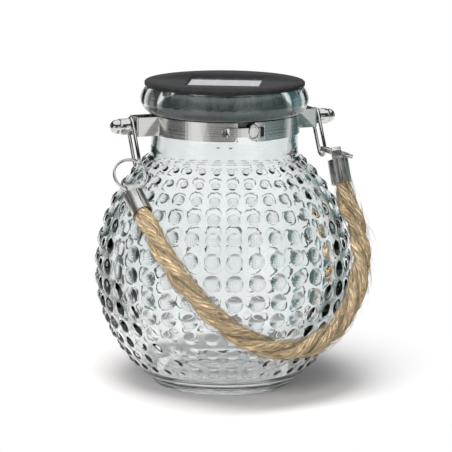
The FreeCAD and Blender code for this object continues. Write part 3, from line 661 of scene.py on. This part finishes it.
def square_point(step):
    """An even place on a square border, for each step round it from the middle of its right side."""
    run = TILE_SIDES // 4
    side, along = divmod(step + run // 2, run)
    slide = TILE_BORDER * (2 * along / run - 1)
    sides = ((TILE_BORDER, slide), (-slide, TILE_BORDER), (-TILE_BORDER, -slide), (slide, -TILE_BORDER))
    return sides[side % 4]


def belly_mesh(tile, size):
    """The belly: the tile laid on every place of the hobnails' rows and columns."""
    shoulder_c = size.belly_radius - size.shoulder_arc
    foot_c = size.belly_radius - size.foot_arc
    upper = row_angles(shoulder_c, size.shoulder_arc, *UPPER_ROWS)
    lower = row_angles(foot_c, size.foot_arc, *LOWER_ROWS)
    top = math.acos((SHOULDER_END - shoulder_c) / size.shoulder_arc)
    low = 1.5 * lower[-1] - 0.5 * lower[-2]
    bands = []
    edges = [0.0] + [(a + b) / 2 for a, b in zip(upper, upper[1:])] + [top]
    for start, end in zip(edges, edges[1:]):
        bands.append((shoulder_c, size.shoulder_arc, start, end))
    edges = [0.0] + [(a + b) / 2 for a, b in zip(lower, lower[1:])] + [low]
    for start, end in zip(edges, edges[1:]):
        bands.append((foot_c, size.foot_arc, -end, -start))
    vertices = []
    faces = []
    half_turn = math.pi / HOBNAIL_COLUMNS
    for centre, arc, start, end in bands:
        middle = (start + end) / 2
        radius = centre + arc * math.cos(middle)
        share = (radius / size.belly_radius) ** 2
        half = size.hobnail_width * share / 2
        height = size.hobnail_height * share
        row_points = []
        for vertex in tile.data.vertices:
            x, y, z = vertex.co
            if max(abs(x), abs(y)) > 0.95 * TILE_BORDER:
                angle = middle + (end - start) / 2 * y / TILE_BORDER
                turn = half_turn * x / TILE_BORDER
            else:
                angle = middle + half * y / arc
                turn = half * x / (centre + arc * math.cos(angle))
            reach, z = arc_point(centre, arc + height * z, angle, size.belly_height)
            row_points.append((reach, turn, z))
        for column in range(HOBNAIL_COLUMNS):
            first = len(vertices)
            bearing = FIRST_COLUMN + 2 * half_turn * column
            for reach, turn, z in row_points:
                vertices.append((reach * math.cos(bearing + turn), reach * math.sin(bearing + turn), z))
            for face in tile.data.polygons:
                faces.append([first + index for index in face.vertices])
    mesh = bpy.data.meshes.new("glass_belly")
    mesh.from_pydata(vertices, [], faces)
    base = [0.95 < tile_reach(vertex) < 1.05 for vertex in tile.data.vertices]
    for edge in mesh.edges:
        edge.use_edge_sharp = all(base[index % len(base)] for index in edge.vertices)
    top_ring = arc_point(shoulder_c, size.shoulder_arc, top, size.belly_height)
    foot_ring = arc_point(foot_c, size.foot_arc, -low, size.belly_height)
    return mesh, top_ring, foot_ring


def spun_profile(name, points):
    """A line of points in the XZ plane, spun round Z in steps that match the hobnails."""
    mesh = bpy.data.meshes.new(name)
    mesh.from_pydata([(x, 0, z) for x, z in points], [(i, i + 1) for i in range(len(points) - 1)], [])
    piece = new_piece(name, mesh)
    place(piece, Matrix.Rotation(FIRST_COLUMN, 4, "Z"))
    edit(piece)
    bpy.ops.mesh.spin(steps=ROUND_STEPS, angle=2 * math.pi, center=(0, 0, 0), axis=(0, 0, 1))
    bpy.ops.mesh.select_all(action="SELECT")
    bpy.ops.mesh.remove_doubles(threshold=0.00002)
    bpy.ops.object.mode_set(mode="OBJECT")
    return piece


class LANTERN_OT_glass_jar(bpy.types.Operator):
    """Models the hobnail jar with its neck, rim bead, inside and foot"""

    bl_idname = "lantern.glass_jar"
    bl_label = "Glass jar"

    def execute(self, context):
        size = sizes()
        tile = hobnail_tile()
        mesh, top_ring, foot_ring = belly_mesh(tile, size)
        bpy.data.objects.remove(tile)
        belly = new_piece("glass_jar_belly", mesh)
        neck = spun_profile("glass_jar_neck", self.neck_and_inside(size, top_ring))
        base = spun_profile("glass_jar_foot", self.foot(size, foot_ring))
        start_clean()
        for piece in (neck, base, belly):
            piece.select_set(True)
        context.view_layer.objects.active = belly
        bpy.ops.object.join()
        jar = active_piece("glass_jar_hobnailed")
        edit(jar)
        bpy.ops.mesh.remove_doubles(threshold=0.00006)
        bpy.ops.mesh.normals_make_consistent(inside=False)
        close_edit(jar, 50.0)
        dress(jar, finish_once(clear_glass), "jar", "glass_jar")
        return {"FINISHED"}

    def neck_and_inside(self, size, top_ring):
        """The outline from the top hobnails over the rim and down the inside to the middle of the floor."""
        points = arc_through(top_ring, *NECK_FILLET)
        points += [(NECK_RADIUS, height) for height in NECK_HEIGHTS]
        points.append(RIM_ARCS[0][0])
        for arc in RIM_ARCS:
            points += arc_through(*arc)[1:]
        points += [RIM_MIDDLE] + arc_through(*MOUTH_ARC)
        points += [(MOUTH_RADIUS, height) for height in MOUTH_HEIGHTS]
        centre, arc = size.belly_radius - size.shoulder_arc, size.shoulder_arc - size.wall
        top = math.acos((MOUTH_RADIUS - centre) / arc)
        points += [arc_point(centre, arc, top * step / 24, size.belly_height) for step in range(24, -1, -1)]
        centre, arc = size.belly_radius - size.foot_arc, size.foot_arc - size.wall
        low = math.asin((size.belly_height - INSIDE_LOW) / arc)
        points += [arc_point(centre, arc, -low * step / 18, size.belly_height) for step in range(1, 19)]
        reach = points[-1][0]
        points += arc_through(points[-1], (reach - 0.0053, 0.0091), (reach - 0.0136, 0.007), 7)[1:]
        return points + INSIDE_FLOOR

    def foot(self, size, foot_ring):
        """The outline from the lowest hobnails to the middle of the hollow under the foot."""
        centre, arc = size.belly_radius - size.foot_arc, size.foot_arc
        side = math.asin((size.belly_height - FOOT_LOW) / arc)
        start = math.asin((size.belly_height - foot_ring[1]) / arc)
        points = [foot_ring]
        for step in range(1, 9):
            points.append(arc_point(centre, arc, -(start + (side - start) * step / 8), size.belly_height))
        reach = points[-1][0]
        points += arc_through(points[-1], (reach - 0.0006, 0.0006), (reach - 0.002, 0.0), 4)[1:]
        return points + FOOT_UNDER


class LANTERN_OT_wire_links(bpy.types.Operator):
    """Models the oval wire links by drawing out a ring of wire"""

    bl_idname = "lantern.wire_links"
    bl_label = "Wire links"

    def execute(self, context):
        size = sizes()
        for name, side in (("left", -1), ("right", 1)):
            start_clean()
            bpy.ops.mesh.primitive_torus_add(
                major_segments=56, minor_segments=18,
                major_radius=LINK_RADIUS, minor_radius=size.link_wire / 2)
            link = active_piece("wire_link_" + name + "_drawn")
            for vertex in link.data.vertices:
                if vertex.co.y < -1e-7:
                    vertex.co.y -= LINK_SPAN
            upright = Matrix(((0, 0, 1, 0), (1, 0, 0, 0), (0, 1, 0, 0), (0, 0, 0, 1)))
            lean = Matrix.Rotation(math.radians(LINK_LEAN), 4, "X")
            hang = Matrix.Translation((side * LINK_REACH, 0, SCREW_HEIGHT))
            place(link, hang @ lean @ upright)
            smooth_outward(link, 80.0)
            dress(link, finish_once(polished_steel), "link_" + name, "wire_link_" + name)
        return {"FINISHED"}


class LANTERN_OT_split_rings(bpy.types.Operator):
    """Winds each split ring as two turns of wire with a step between them"""

    bl_idname = "lantern.split_rings"
    bl_label = "Split rings"

    def execute(self, context):
        size = sizes()
        radius = (size.ring_width - size.ring_wire) / 2
        pitch = size.ring_wire * 0.94
        for name, (middle, axis) in RINGS.items():
            curve = bpy.data.curves.new("split_ring_" + name, "CURVE")
            curve.dimensions = "3D"
            curve.bevel_depth = size.ring_wire / 2
            curve.bevel_resolution = 4
            curve.use_fill_caps = True
            spline = curve.splines.new("POLY")
            points = []
            for step in range(RING_STEPS + 1):
                turn = 2 * math.pi * RING_TURNS * step / RING_STEPS
                climb = ease((turn / (2 * math.pi) - RING_CROSSING) / RING_CROSSING_SPAN)
                points.append((radius * math.cos(turn), radius * math.sin(turn), pitch * (climb - 0.5)))
            spline.points.add(len(points) - 1)
            for point, co in zip(spline.points, points):
                point.co = (*co, 1.0)
            piece = new_piece("split_ring_" + name + "_wound", curve)
            start_clean()
            piece.select_set(True)
            context.view_layer.objects.active = piece
            bpy.ops.object.convert(target="MESH")
            ring = context.object
            tilt = Vector((0, 0, 1)).rotation_difference(Vector(axis)).to_matrix().to_4x4()
            place(ring, Matrix.Translation(middle) @ tilt)
            smooth_outward(ring, 60.0)
            dress(ring, finish_once(polished_steel), "ring_" + name, "split_ring_" + name)
        return {"FINISHED"}


# The solids that are copied: each with its body, its finish and its slot
CARRIED = [
    ("neck_band", "jar", brushed_steel, "brushed_strip"),
    ("pivot_screw_left", "jar", polished_steel, "polished_steel"),
    ("pivot_screw_right", "jar", polished_steel, "polished_steel"),
    ("cap_nut_left", "jar", polished_steel, "polished_steel"),
    ("cap_nut_right", "jar", polished_steel, "polished_steel"),
    ("rope_ferrule_left", "rope_handle", rolled_steel, "polished_steel"),
    ("rope_ferrule_right", "rope_handle", rolled_steel, "polished_steel"),
    ("lid_plate", "lid", dark_plastic, "dark_plastic"),
    ("solar_panel", "lid", solar_cells, "solar_cells"),
    ("lid_seal", "lid", soft_rubber, "silicone"),
    ("plug_housing", "lid", dark_plastic, "dark_plastic"),
    ("led_lamp", "lid", clear_resin, "clear_resin"),
    ("battery_door", "lid", dark_plastic, "dark_plastic"),
    ("switch_slider", "switch_knob", dark_plastic, "dark_plastic"),
]

# The solids that only take a finish
PLAIN_NODES = [
    ("circuit_board", board_laminate),
    ("switch_body", dark_plastic),
    ("battery", cell_sleeve),
    ("battery_contact_left", spring_brass),
    ("battery_contact_right", spring_brass),
    ("housing_screw_left", polished_steel),
    ("housing_screw_right", polished_steel),
]


class LANTERN_OT_carried_pieces(bpy.types.Operator):
    """Smooths a merged copy of each machined or moulded solid and gives every solid its finish"""

    bl_idname = "lantern.carried_pieces"
    bl_label = "Band, hardware and lid"

    def execute(self, context):
        for node, body, make, slot in CARRIED:
            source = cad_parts[node]
            piece = new_piece(node + "_finished", source.data.copy())
            edit(piece)
            bpy.ops.mesh.remove_doubles(threshold=0.000002)
            close_edit(piece, 32.0)
            dress(piece, finish_once(make), body, node)
        for node, make in PLAIN_NODES:
            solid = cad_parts[node]
            solid.data.materials.clear()
            solid.data.materials.append(finish_once(make))
        self.clasp()
        return {"FINISHED"}

    def clasp(self):
        """The bulging lip round the band's slot, and a dark plate beside the folded tongue: painted shadow of
        the slot.
        """
        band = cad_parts["neck_band"]
        middle = sum(corner[2] for corner in band.bound_box) / 8
        start_clean()
        bpy.ops.mesh.primitive_torus_add(
            major_segments=40, minor_segments=12, major_radius=1.0, minor_radius=0.2)
        lip = active_piece("band_slot_lip")
        place(lip, self.on_band(middle, *SLOT_LIP))
        edit(lip)
        close_edit(lip)
        dress(lip, finish_once(polished_steel), "jar")
        # A dark plate at the slot: painted shadow, where the real slot is only in shade.
        start_clean()
        bpy.ops.mesh.primitive_cube_add(size=1.0)
        gap = active_piece("band_slot_gap")
        place(gap, self.on_band(middle, *SLOT_SHADOW_PLATE))
        dress(gap, finish_once(dark_plastic), "jar")

    def on_band(self, height, bearing, reach, size):
        """A place and size on the band, by degrees to the right of its front, with Z facing out and Y up."""
        turn = Matrix.Rotation(math.radians(bearing), 4, "Z")
        face_out = Matrix.Rotation(math.radians(90), 4, "X")
        return turn @ Matrix.Translation((0, -reach, height)) @ face_out @ Matrix.Diagonal((*size, 1.0))


def rope_line():
    """Points along the rope's smooth route."""
    curve = bpy.data.curves.new("rope_route", "CURVE")
    curve.dimensions = "3D"
    curve.resolution_u = 24
    spline = curve.splines.new("NURBS")
    spline.points.add(len(ROPE_ROUTE) - 1)
    for point, co in zip(spline.points, ROPE_ROUTE):
        point.co = (*co, 1.0)
    spline.order_u = 3
    spline.use_endpoint_u = True
    route = new_piece("rope_route", curve)
    mesh = bpy.data.meshes.new_from_object(route)
    line = [vertex.co.copy() for vertex in mesh.vertices]
    bpy.data.objects.remove(route)
    bpy.data.meshes.remove(mesh)
    return line


def wave(far, kind, start):
    """How far a slow wave along the rope is from its middle."""
    rate, size = kind
    return size * math.sin(far * rate + start)


def even_stations(line, gap):
    """Stations at an even gap along a line, each with a steady cross frame."""
    lengths = [0.0]
    for a, b in zip(line, line[1:]):
        lengths.append(lengths[-1] + (b - a).length)
    count = max(2, int(lengths[-1] / gap))
    stations = []
    segment = 0
    across = None
    for step in range(count + 1):
        target = lengths[-1] * step / count
        while segment < len(line) - 2 and lengths[segment + 1] < target:
            segment += 1
        share = (target - lengths[segment]) / max(1e-9, lengths[segment + 1] - lengths[segment])
        point = line[segment].lerp(line[segment + 1], share)
        ahead = (line[segment + 1] - line[segment]).normalized()
        if across is None:
            across = ahead.cross(Vector((0, 0, 1))).normalized()
        across = (across - ahead * across.dot(ahead)).normalized()
        stations.append((target, point, ahead, across.copy(), ahead.cross(across)))
    return stations


class LANTERN_OT_rope(bpy.types.Operator):
    """Lays up three strands of jute along the rope's route, with loose fibres"""

    bl_idname = "lantern.rope"
    bl_label = "Rope"

    def execute(self, context):
        size = sizes()
        chance = random.Random(7)
        line = rope_line()
        stations = even_stations(line, STATION_GAP)
        length = stations[-1][0]
        rope_r = size.rope_width / 2
        sides = STRAND_SIDES
        vertices = []
        faces = []
        coords = []
        groove_shades = []
        for strand in range(STRANDS):
            phase = 2 * math.pi * strand / STRANDS
            wobble = [chance.uniform(0, 6.28) for _ in range(6)]
            cells = range(int(length / FRAY_GAP) + 3)
            fray = [[chance.uniform(-1, 1) for _ in cells] for _ in range(sides)]
            first = len(vertices)
            for far, point, ahead, across, over in stations:
                full = self.fullness(far, length)
                turn = phase - 2 * math.pi * far / size.rope_lay + wave(far, TWIST_WAVE, wobble[0])
                out = across * math.cos(turn) + over * math.sin(turn)
                beside = ahead.cross(out)
                drift = STRAND_OFFSET * (1 + wave(far, OFFSET_WAVE, wobble[1]))
                centre = point + out * (rope_r * full * drift)
                swell = STRAND_RADIUS + wave(far, LONG_SWELL, wobble[2]) + wave(far, SHORT_SWELL, wobble[3])
                cell, share = divmod(far / FRAY_GAP, 1.0)
                cell, share = int(cell), ease(share)
                for side in range(sides):
                    angle = 2 * math.pi * side / sides
                    lay = angle + 2 * math.pi * far / YARN_LAY
                    ridge = abs(math.sin((YARNS * lay + wave(far, YARN_WAVE, wobble[4])) / 2))
                    rough = fray[side][cell] * (1 - share) + fray[side][cell + 1] * share
                    reach = swell * (1 - YARN_DEPTH + YARN_DEPTH * ridge) + FRAY_DEPTH * rough
                    reach *= rope_r * full
                    aside = beside * (reach * math.sin(angle))
                    vertices.append(centre + out * (reach * math.cos(angle)) + aside)
                    coords.append((far * 100 + 40 * strand, side / sides))
                    # Painted shade: darkest on the side of each strand that faces the rope's middle, between
                    # the yarns, and in the dips of the fray.
                    inner_shade = max(0.0, -math.cos(angle) - 0.1) ** 0.7
                    yarn_groove_shade = max(0.0, 1 - ridge * 2.4) * 0.6
                    groove_shades.append(min(1.0, 0.8 * inner_shade + yarn_groove_shade + max(0.0, -0.25 * rough)))
            rows = len(stations)
            for row in range(rows - 1):
                for side in range(sides):
                    after = (side + 1) % sides
                    a = first + row * sides
                    b = a + sides
                    faces.append((a + side, a + after, b + after, b + side))
            faces.append([first + side for side in range(sides)][::-1])
            last = first + (rows - 1) * sides
            faces.append([last + side for side in range(sides)])
        mesh = bpy.data.meshes.new("rope_strands")
        mesh.from_pydata(vertices, [], faces)
        self.colour(mesh, coords, groove_shades)
        rope = new_piece("rope_strands", mesh)
        smooth_outward(rope, 75.0)
        fibres = self.fibres(stations, rope_r, chance, size)
        finish = finish_once(jute)
        dress(rope, finish, "rope_handle", "rope")
        dress(fibres, finish, "rope_handle")
        return {"FINISHED"}

    def fullness(self, far, length):
        """How full the rope is along its length: pressed thin in the ferrules and fuller between them."""
        inside = min(far, length - far)
        return 0.93 + 0.17 * ease((inside - 0.010) / 0.010)

    def colour(self, mesh, coords, groove_shades):
        """Writes the strand's own map and its mask of painted shade between strands and yarns."""
        layer = mesh.uv_layers.new(name="UVMap")
        for polygon in mesh.polygons:
            shares = [coords[index][1] for index in polygon.vertices]
            wraps = max(shares) - min(shares) > 0.5
            for loop, index in zip(polygon.loop_indices, polygon.vertices):
                u, v = coords[index]
                if wraps and v < 0.5:
                    v += 1.0
                layer.data[loop].uv = (u, v)
        mask = mesh.attributes.new("painted_groove_shade", "FLOAT", "POINT")
        mask.data.foreach_set("value", groove_shades)

    def fibres(self, stations, rope_r, chance, size):
        """Thin loose fibres that leave the rope at a low angle and curl."""
        vertices = []
        faces = []
        coords = []
        for _ in range(size.fibre_count):
            place_on_rope = chance.randrange(FIBRE_MARGIN, len(stations) - FIBRE_MARGIN)
            far, point, ahead, across, over = stations[place_on_rope]
            turn = chance.uniform(0, 2 * math.pi)
            out = across * math.cos(turn) + over * math.sin(turn)
            beside = ahead.cross(out)
            way = chance.choice((-1, 1))
            length = chance.uniform(*FIBRE_LENGTH)
            lift = chance.uniform(*(LOW_LIFT if chance.random() < LOW_FIBRES else HIGH_LIFT))
            lean = chance.uniform(-0.45, 0.45)
            width = chance.uniform(*FIBRE_WIDTH)
            start = point + out * rope_r * 0.98
            heading = (ahead * way + out * lift + beside * lean).normalized()
            first = len(vertices)
            spot = start
            for step in range(FIBRE_STEPS + 1):
                thin = width * (1 - 0.7 * step / FIBRE_STEPS)
                edge = heading.cross(out).normalized() * thin
                rise = out * thin
                vertices += [spot + edge, spot - edge * 0.5 + rise, spot - edge * 0.5 - rise]
                coords += [(far * 100, 0.1), (far * 100, 0.2), (far * 100, 0.3)]
                heading = heading + ahead * way * 0.25 - out * 0.16 * lift
                heading = (heading + beside * 0.2 * lean).normalized()
                spot = spot + heading * (length / FIBRE_STEPS)
            for step in range(FIBRE_STEPS):
                a = first + 3 * step
                for corner in range(3):
                    after = (corner + 1) % 3
                    faces.append((a + corner, a + after, a + 3 + after, a + 3 + corner))
        mesh = bpy.data.meshes.new("rope_fibres")
        mesh.from_pydata(vertices, [], faces)
        self.colour(mesh, coords, [0.0] * len(vertices))
        return new_piece("rope_fibres", mesh)


class LANTERN_OT_stage(bpy.types.Operator):
    """Sets the pale floor, the studio lamps, the reflected surround and the camera"""

    bl_idname = "lantern.stage"
    bl_label = "Stage"

    def execute(self, context):
        self.floor(context)
        self.world(context)
        self.lamps(context)
        self.surround(context)
        self.camera(context)
        context.scene.view_settings.view_transform = "Standard"
        return {"FINISHED"}

    def seen(self, tree):
        """1 for camera, glossy and transmission rays."""
        path = tree.nodes.new("ShaderNodeLightPath").outputs
        first = math_node(tree, "MAXIMUM", path["Is Camera Ray"], path["Is Glossy Ray"])
        return math_node(tree, "MAXIMUM", first, path["Is Transmission Ray"])

    def sides(self, tree, where):
        """The studio's light by bearing."""
        bearing = bpy.context.scene.lantern_stage.camera_bearing
        turn = {"Vector": where, "Rotation": (0, 0, math.pi / 2 - bearing)}
        turned = add_node(tree, "ShaderNodeMapping", turn).outputs["Vector"]
        round_it = add_node(tree, "ShaderNodeTexGradient", {"Vector": turned}, gradient_type="RADIAL")
        ramp = add_node(tree, "ShaderNodeValToRGB", {"Fac": round_it.outputs["Fac"]})
        stops = ramp.color_ramp.elements
        stops[0].color = (*SURROUND[0][1], 1.0)
        stops[1].color = (*SURROUND[-1][1], 1.0)
        for angle, colour in SURROUND[1:-1]:
            stops.new(angle / 360.0 + 0.5).color = (*colour, 1.0)
        return ramp.outputs["Color"]

    def floor(self, context):
        """A floor that keeps the shadow and is white past it, with the studio's sides as glass sees them."""
        start_clean()
        bpy.ops.mesh.primitive_plane_add(size=6.0)
        floor = active_piece("floor")
        look = Finish("floor_white")
        look.put(base_color=FLOOR_COLOUR, roughness=0.9, specular_ior_level=0.1)
        tree, where = look.tree, look.where
        far = add_node(tree, "ShaderNodeVectorMath", {0: where}, operation="LENGTH").outputs["Value"]
        through = tree.nodes.new("ShaderNodeLightPath").outputs["Is Transmission Ray"]
        sideways = math_node(tree, "MULTIPLY", range_node(tree, far, *DARK_FADE), through)
        tone = mix_node(tree, sideways, (1.0, 1.0, 1.0), self.sides(tree, where))
        glow = add_node(tree, "ShaderNodeEmission", {"Color": tone, "Strength": 1.0})
        fade = range_node(tree, far, *GLOW_FADE, "SMOOTHSTEP")
        # Glass sees at least some white glow everywhere on the floor: painted light under the jar for the
        # light that would pass through the glass.
        level = math_node(tree, "MAXIMUM", fade, math_node(tree, "MULTIPLY", through, LEAST_PAINTED_GLOW))
        mask = math_node(tree, "MULTIPLY", self.seen(tree), level)
        shade_surface(tree, mask, look.shader.outputs["BSDF"], glow.outputs["Emission"], "Material Output")
        floor.data.materials.append(look.material)

    def world(self, context):
        """A soft light, and plain white where it is seen."""
        world = bpy.data.worlds.new("studio")
        context.scene.world = world
        world.use_nodes = True
        tree = world.node_tree
        soft = tree.nodes["Background"]
        soft.inputs["Color"].default_value = (0.98, 0.99, 1.0, 1.0)
        soft.inputs["Strength"].default_value = 0.24
        white = add_node(tree, "ShaderNodeBackground", {"Color": (1.0, 1.0, 1.0), "Strength": 1.0})
        shade_surface(
            tree, self.seen(tree), soft.outputs["Background"], white.outputs["Background"], "World Output")

    def lamps(self, context):
        """The two square lamps, which show in no glass or steel."""
        stage = context.scene.lantern_stage
        for name, power, spot, width in (
            ("key_lamp", stage.key_power, (-0.25, -0.2, 1.2), 0.75),
            ("fill_lamp", stage.fill_power, (-0.8, -0.8, 0.6), 0.6),
        ):
            lamp = bpy.data.lights.new(name, "AREA")
            lamp.energy = power
            lamp.size = width
            piece = new_piece(name, lamp)
            piece.location = spot
            aim = LAMP_AIM - Vector(spot)
            piece.rotation_euler = aim.to_track_quat("-Z", "Y").to_euler()
            piece.visible_glossy = False
            piece.visible_transmission = False

    def surround(self, context):
        """A tall ring with the studio's dark and bright sides, seen only in glass and steel."""
        start_clean()
        bpy.ops.mesh.primitive_cylinder_add(
            vertices=128, radius=SURROUND_RADIUS, depth=SURROUND_HEIGHT, end_fill_type="NOTHING",
            location=(0, 0, SURROUND_HEIGHT / 2))
        ring = active_piece("studio_surround")
        place(ring, Matrix.Identity(4))
        material, tree = node_material("studio_surround")
        nodes = tree.nodes
        nodes.remove(nodes["Principled BSDF"])
        where = nodes.new("ShaderNodeTexCoord").outputs["Object"]
        parts = add_node(tree, "ShaderNodeSeparateXYZ", {0: where})
        upper = add_node(tree, "ShaderNodeValToRGB", {"Fac": parts.outputs["Z"]})
        steps = upper.color_ramp.elements
        steps[0].color = (0.0, 0.0, 0.0, 1.0)
        steps[1].color = (1.0, 1.0, 1.0, 1.0)
        for height, shine, glass in DARK_HEIGHTS:
            steps.new(height).color = (shine, glass, 0.0, 1.0)
        split = add_node(tree, "ShaderNodeSeparateColor", {"Color": upper.outputs["Color"]})
        through = nodes.new("ShaderNodeLightPath").outputs["Is Transmission Ray"]
        dark = mix_node(tree, through, split.outputs["Red"], split.outputs["Green"], "FLOAT")
        tone = mix_node(tree, dark, self.sides(tree, where), SURROUND_DARK)
        glow = add_node(tree, "ShaderNodeEmission", {"Color": tone})
        tree.links.new(glow.outputs["Emission"], nodes["Material Output"].inputs["Surface"])
        ring.data.materials.append(material)
        ring.visible_camera = False
        ring.visible_diffuse = False
        ring.visible_shadow = False

    def camera(self, context):
        """A long lens, aimed at the jar's middle."""
        stage = context.scene.lantern_stage
        lens = bpy.data.cameras.new("camera")
        lens.sensor_width = SENSOR
        lens.lens = SENSOR * FOCAL_LENGTH / PICTURE
        lens.shift_x = (PICTURE / 2 - PICTURE_MIDDLE) / PICTURE
        lens.clip_end = 20.0
        camera = new_piece("camera", lens)
        turn = Matrix.Rotation(stage.camera_bearing, 4, "Z")
        tilt = Matrix.Rotation(math.radians(90) - stage.camera_pitch, 4, "X")
        roll = Matrix.Rotation(CAMERA_ROLL, 4, "Z")
        aim = Matrix.Translation(CAMERA_AIM)
        back = Matrix.Translation((0, 0, stage.camera_distance))
        camera.matrix_world = aim @ turn @ tilt @ roll @ back
        context.scene.camera = camera


class LANTERN_PT_panel(bpy.types.Panel):
    """Lists the lantern's pieces and settings"""

    bl_idname = "LANTERN_PT_panel"
    bl_label = "Lantern"
    bl_space_type = "VIEW_3D"
    bl_region_type = "UI"
    bl_category = "Lantern"

    def draw(self, context):
        scene = context.scene
        for group in (scene.lantern_sizes, scene.lantern_colours, scene.lantern_stage):
            for name in group.__annotations__:
                self.layout.prop(group, name)
        for operator in OPERATORS:
            self.layout.operator(operator.bl_idname)


OPERATORS = (
    LANTERN_OT_glass_jar,
    LANTERN_OT_wire_links,
    LANTERN_OT_split_rings,
    LANTERN_OT_carried_pieces,
    LANTERN_OT_rope,
    LANTERN_OT_stage,
)
CLASSES = (LanternSizes, LanternColours, LanternStage) + OPERATORS + (LANTERN_PT_panel,)


def register():
    for item in CLASSES:
        bpy.utils.register_class(item)
    bpy.types.Scene.lantern_sizes = bpy.props.PointerProperty(type=LanternSizes)
    bpy.types.Scene.lantern_colours = bpy.props.PointerProperty(type=LanternColours)
    bpy.types.Scene.lantern_stage = bpy.props.PointerProperty(type=LanternStage)


def unregister():
    del bpy.types.Scene.lantern_sizes
    del bpy.types.Scene.lantern_colours
    del bpy.types.Scene.lantern_stage
    for item in reversed(CLASSES):
        bpy.utils.unregister_class(item)


def main():
    register()
    bpy.ops.lantern.glass_jar()
    bpy.ops.lantern.wire_links()
    bpy.ops.lantern.split_rings()
    bpy.ops.lantern.carried_pieces()
    bpy.ops.lantern.rope()
    bpy.ops.lantern.stage()


if __name__ == "__main__":
    main()
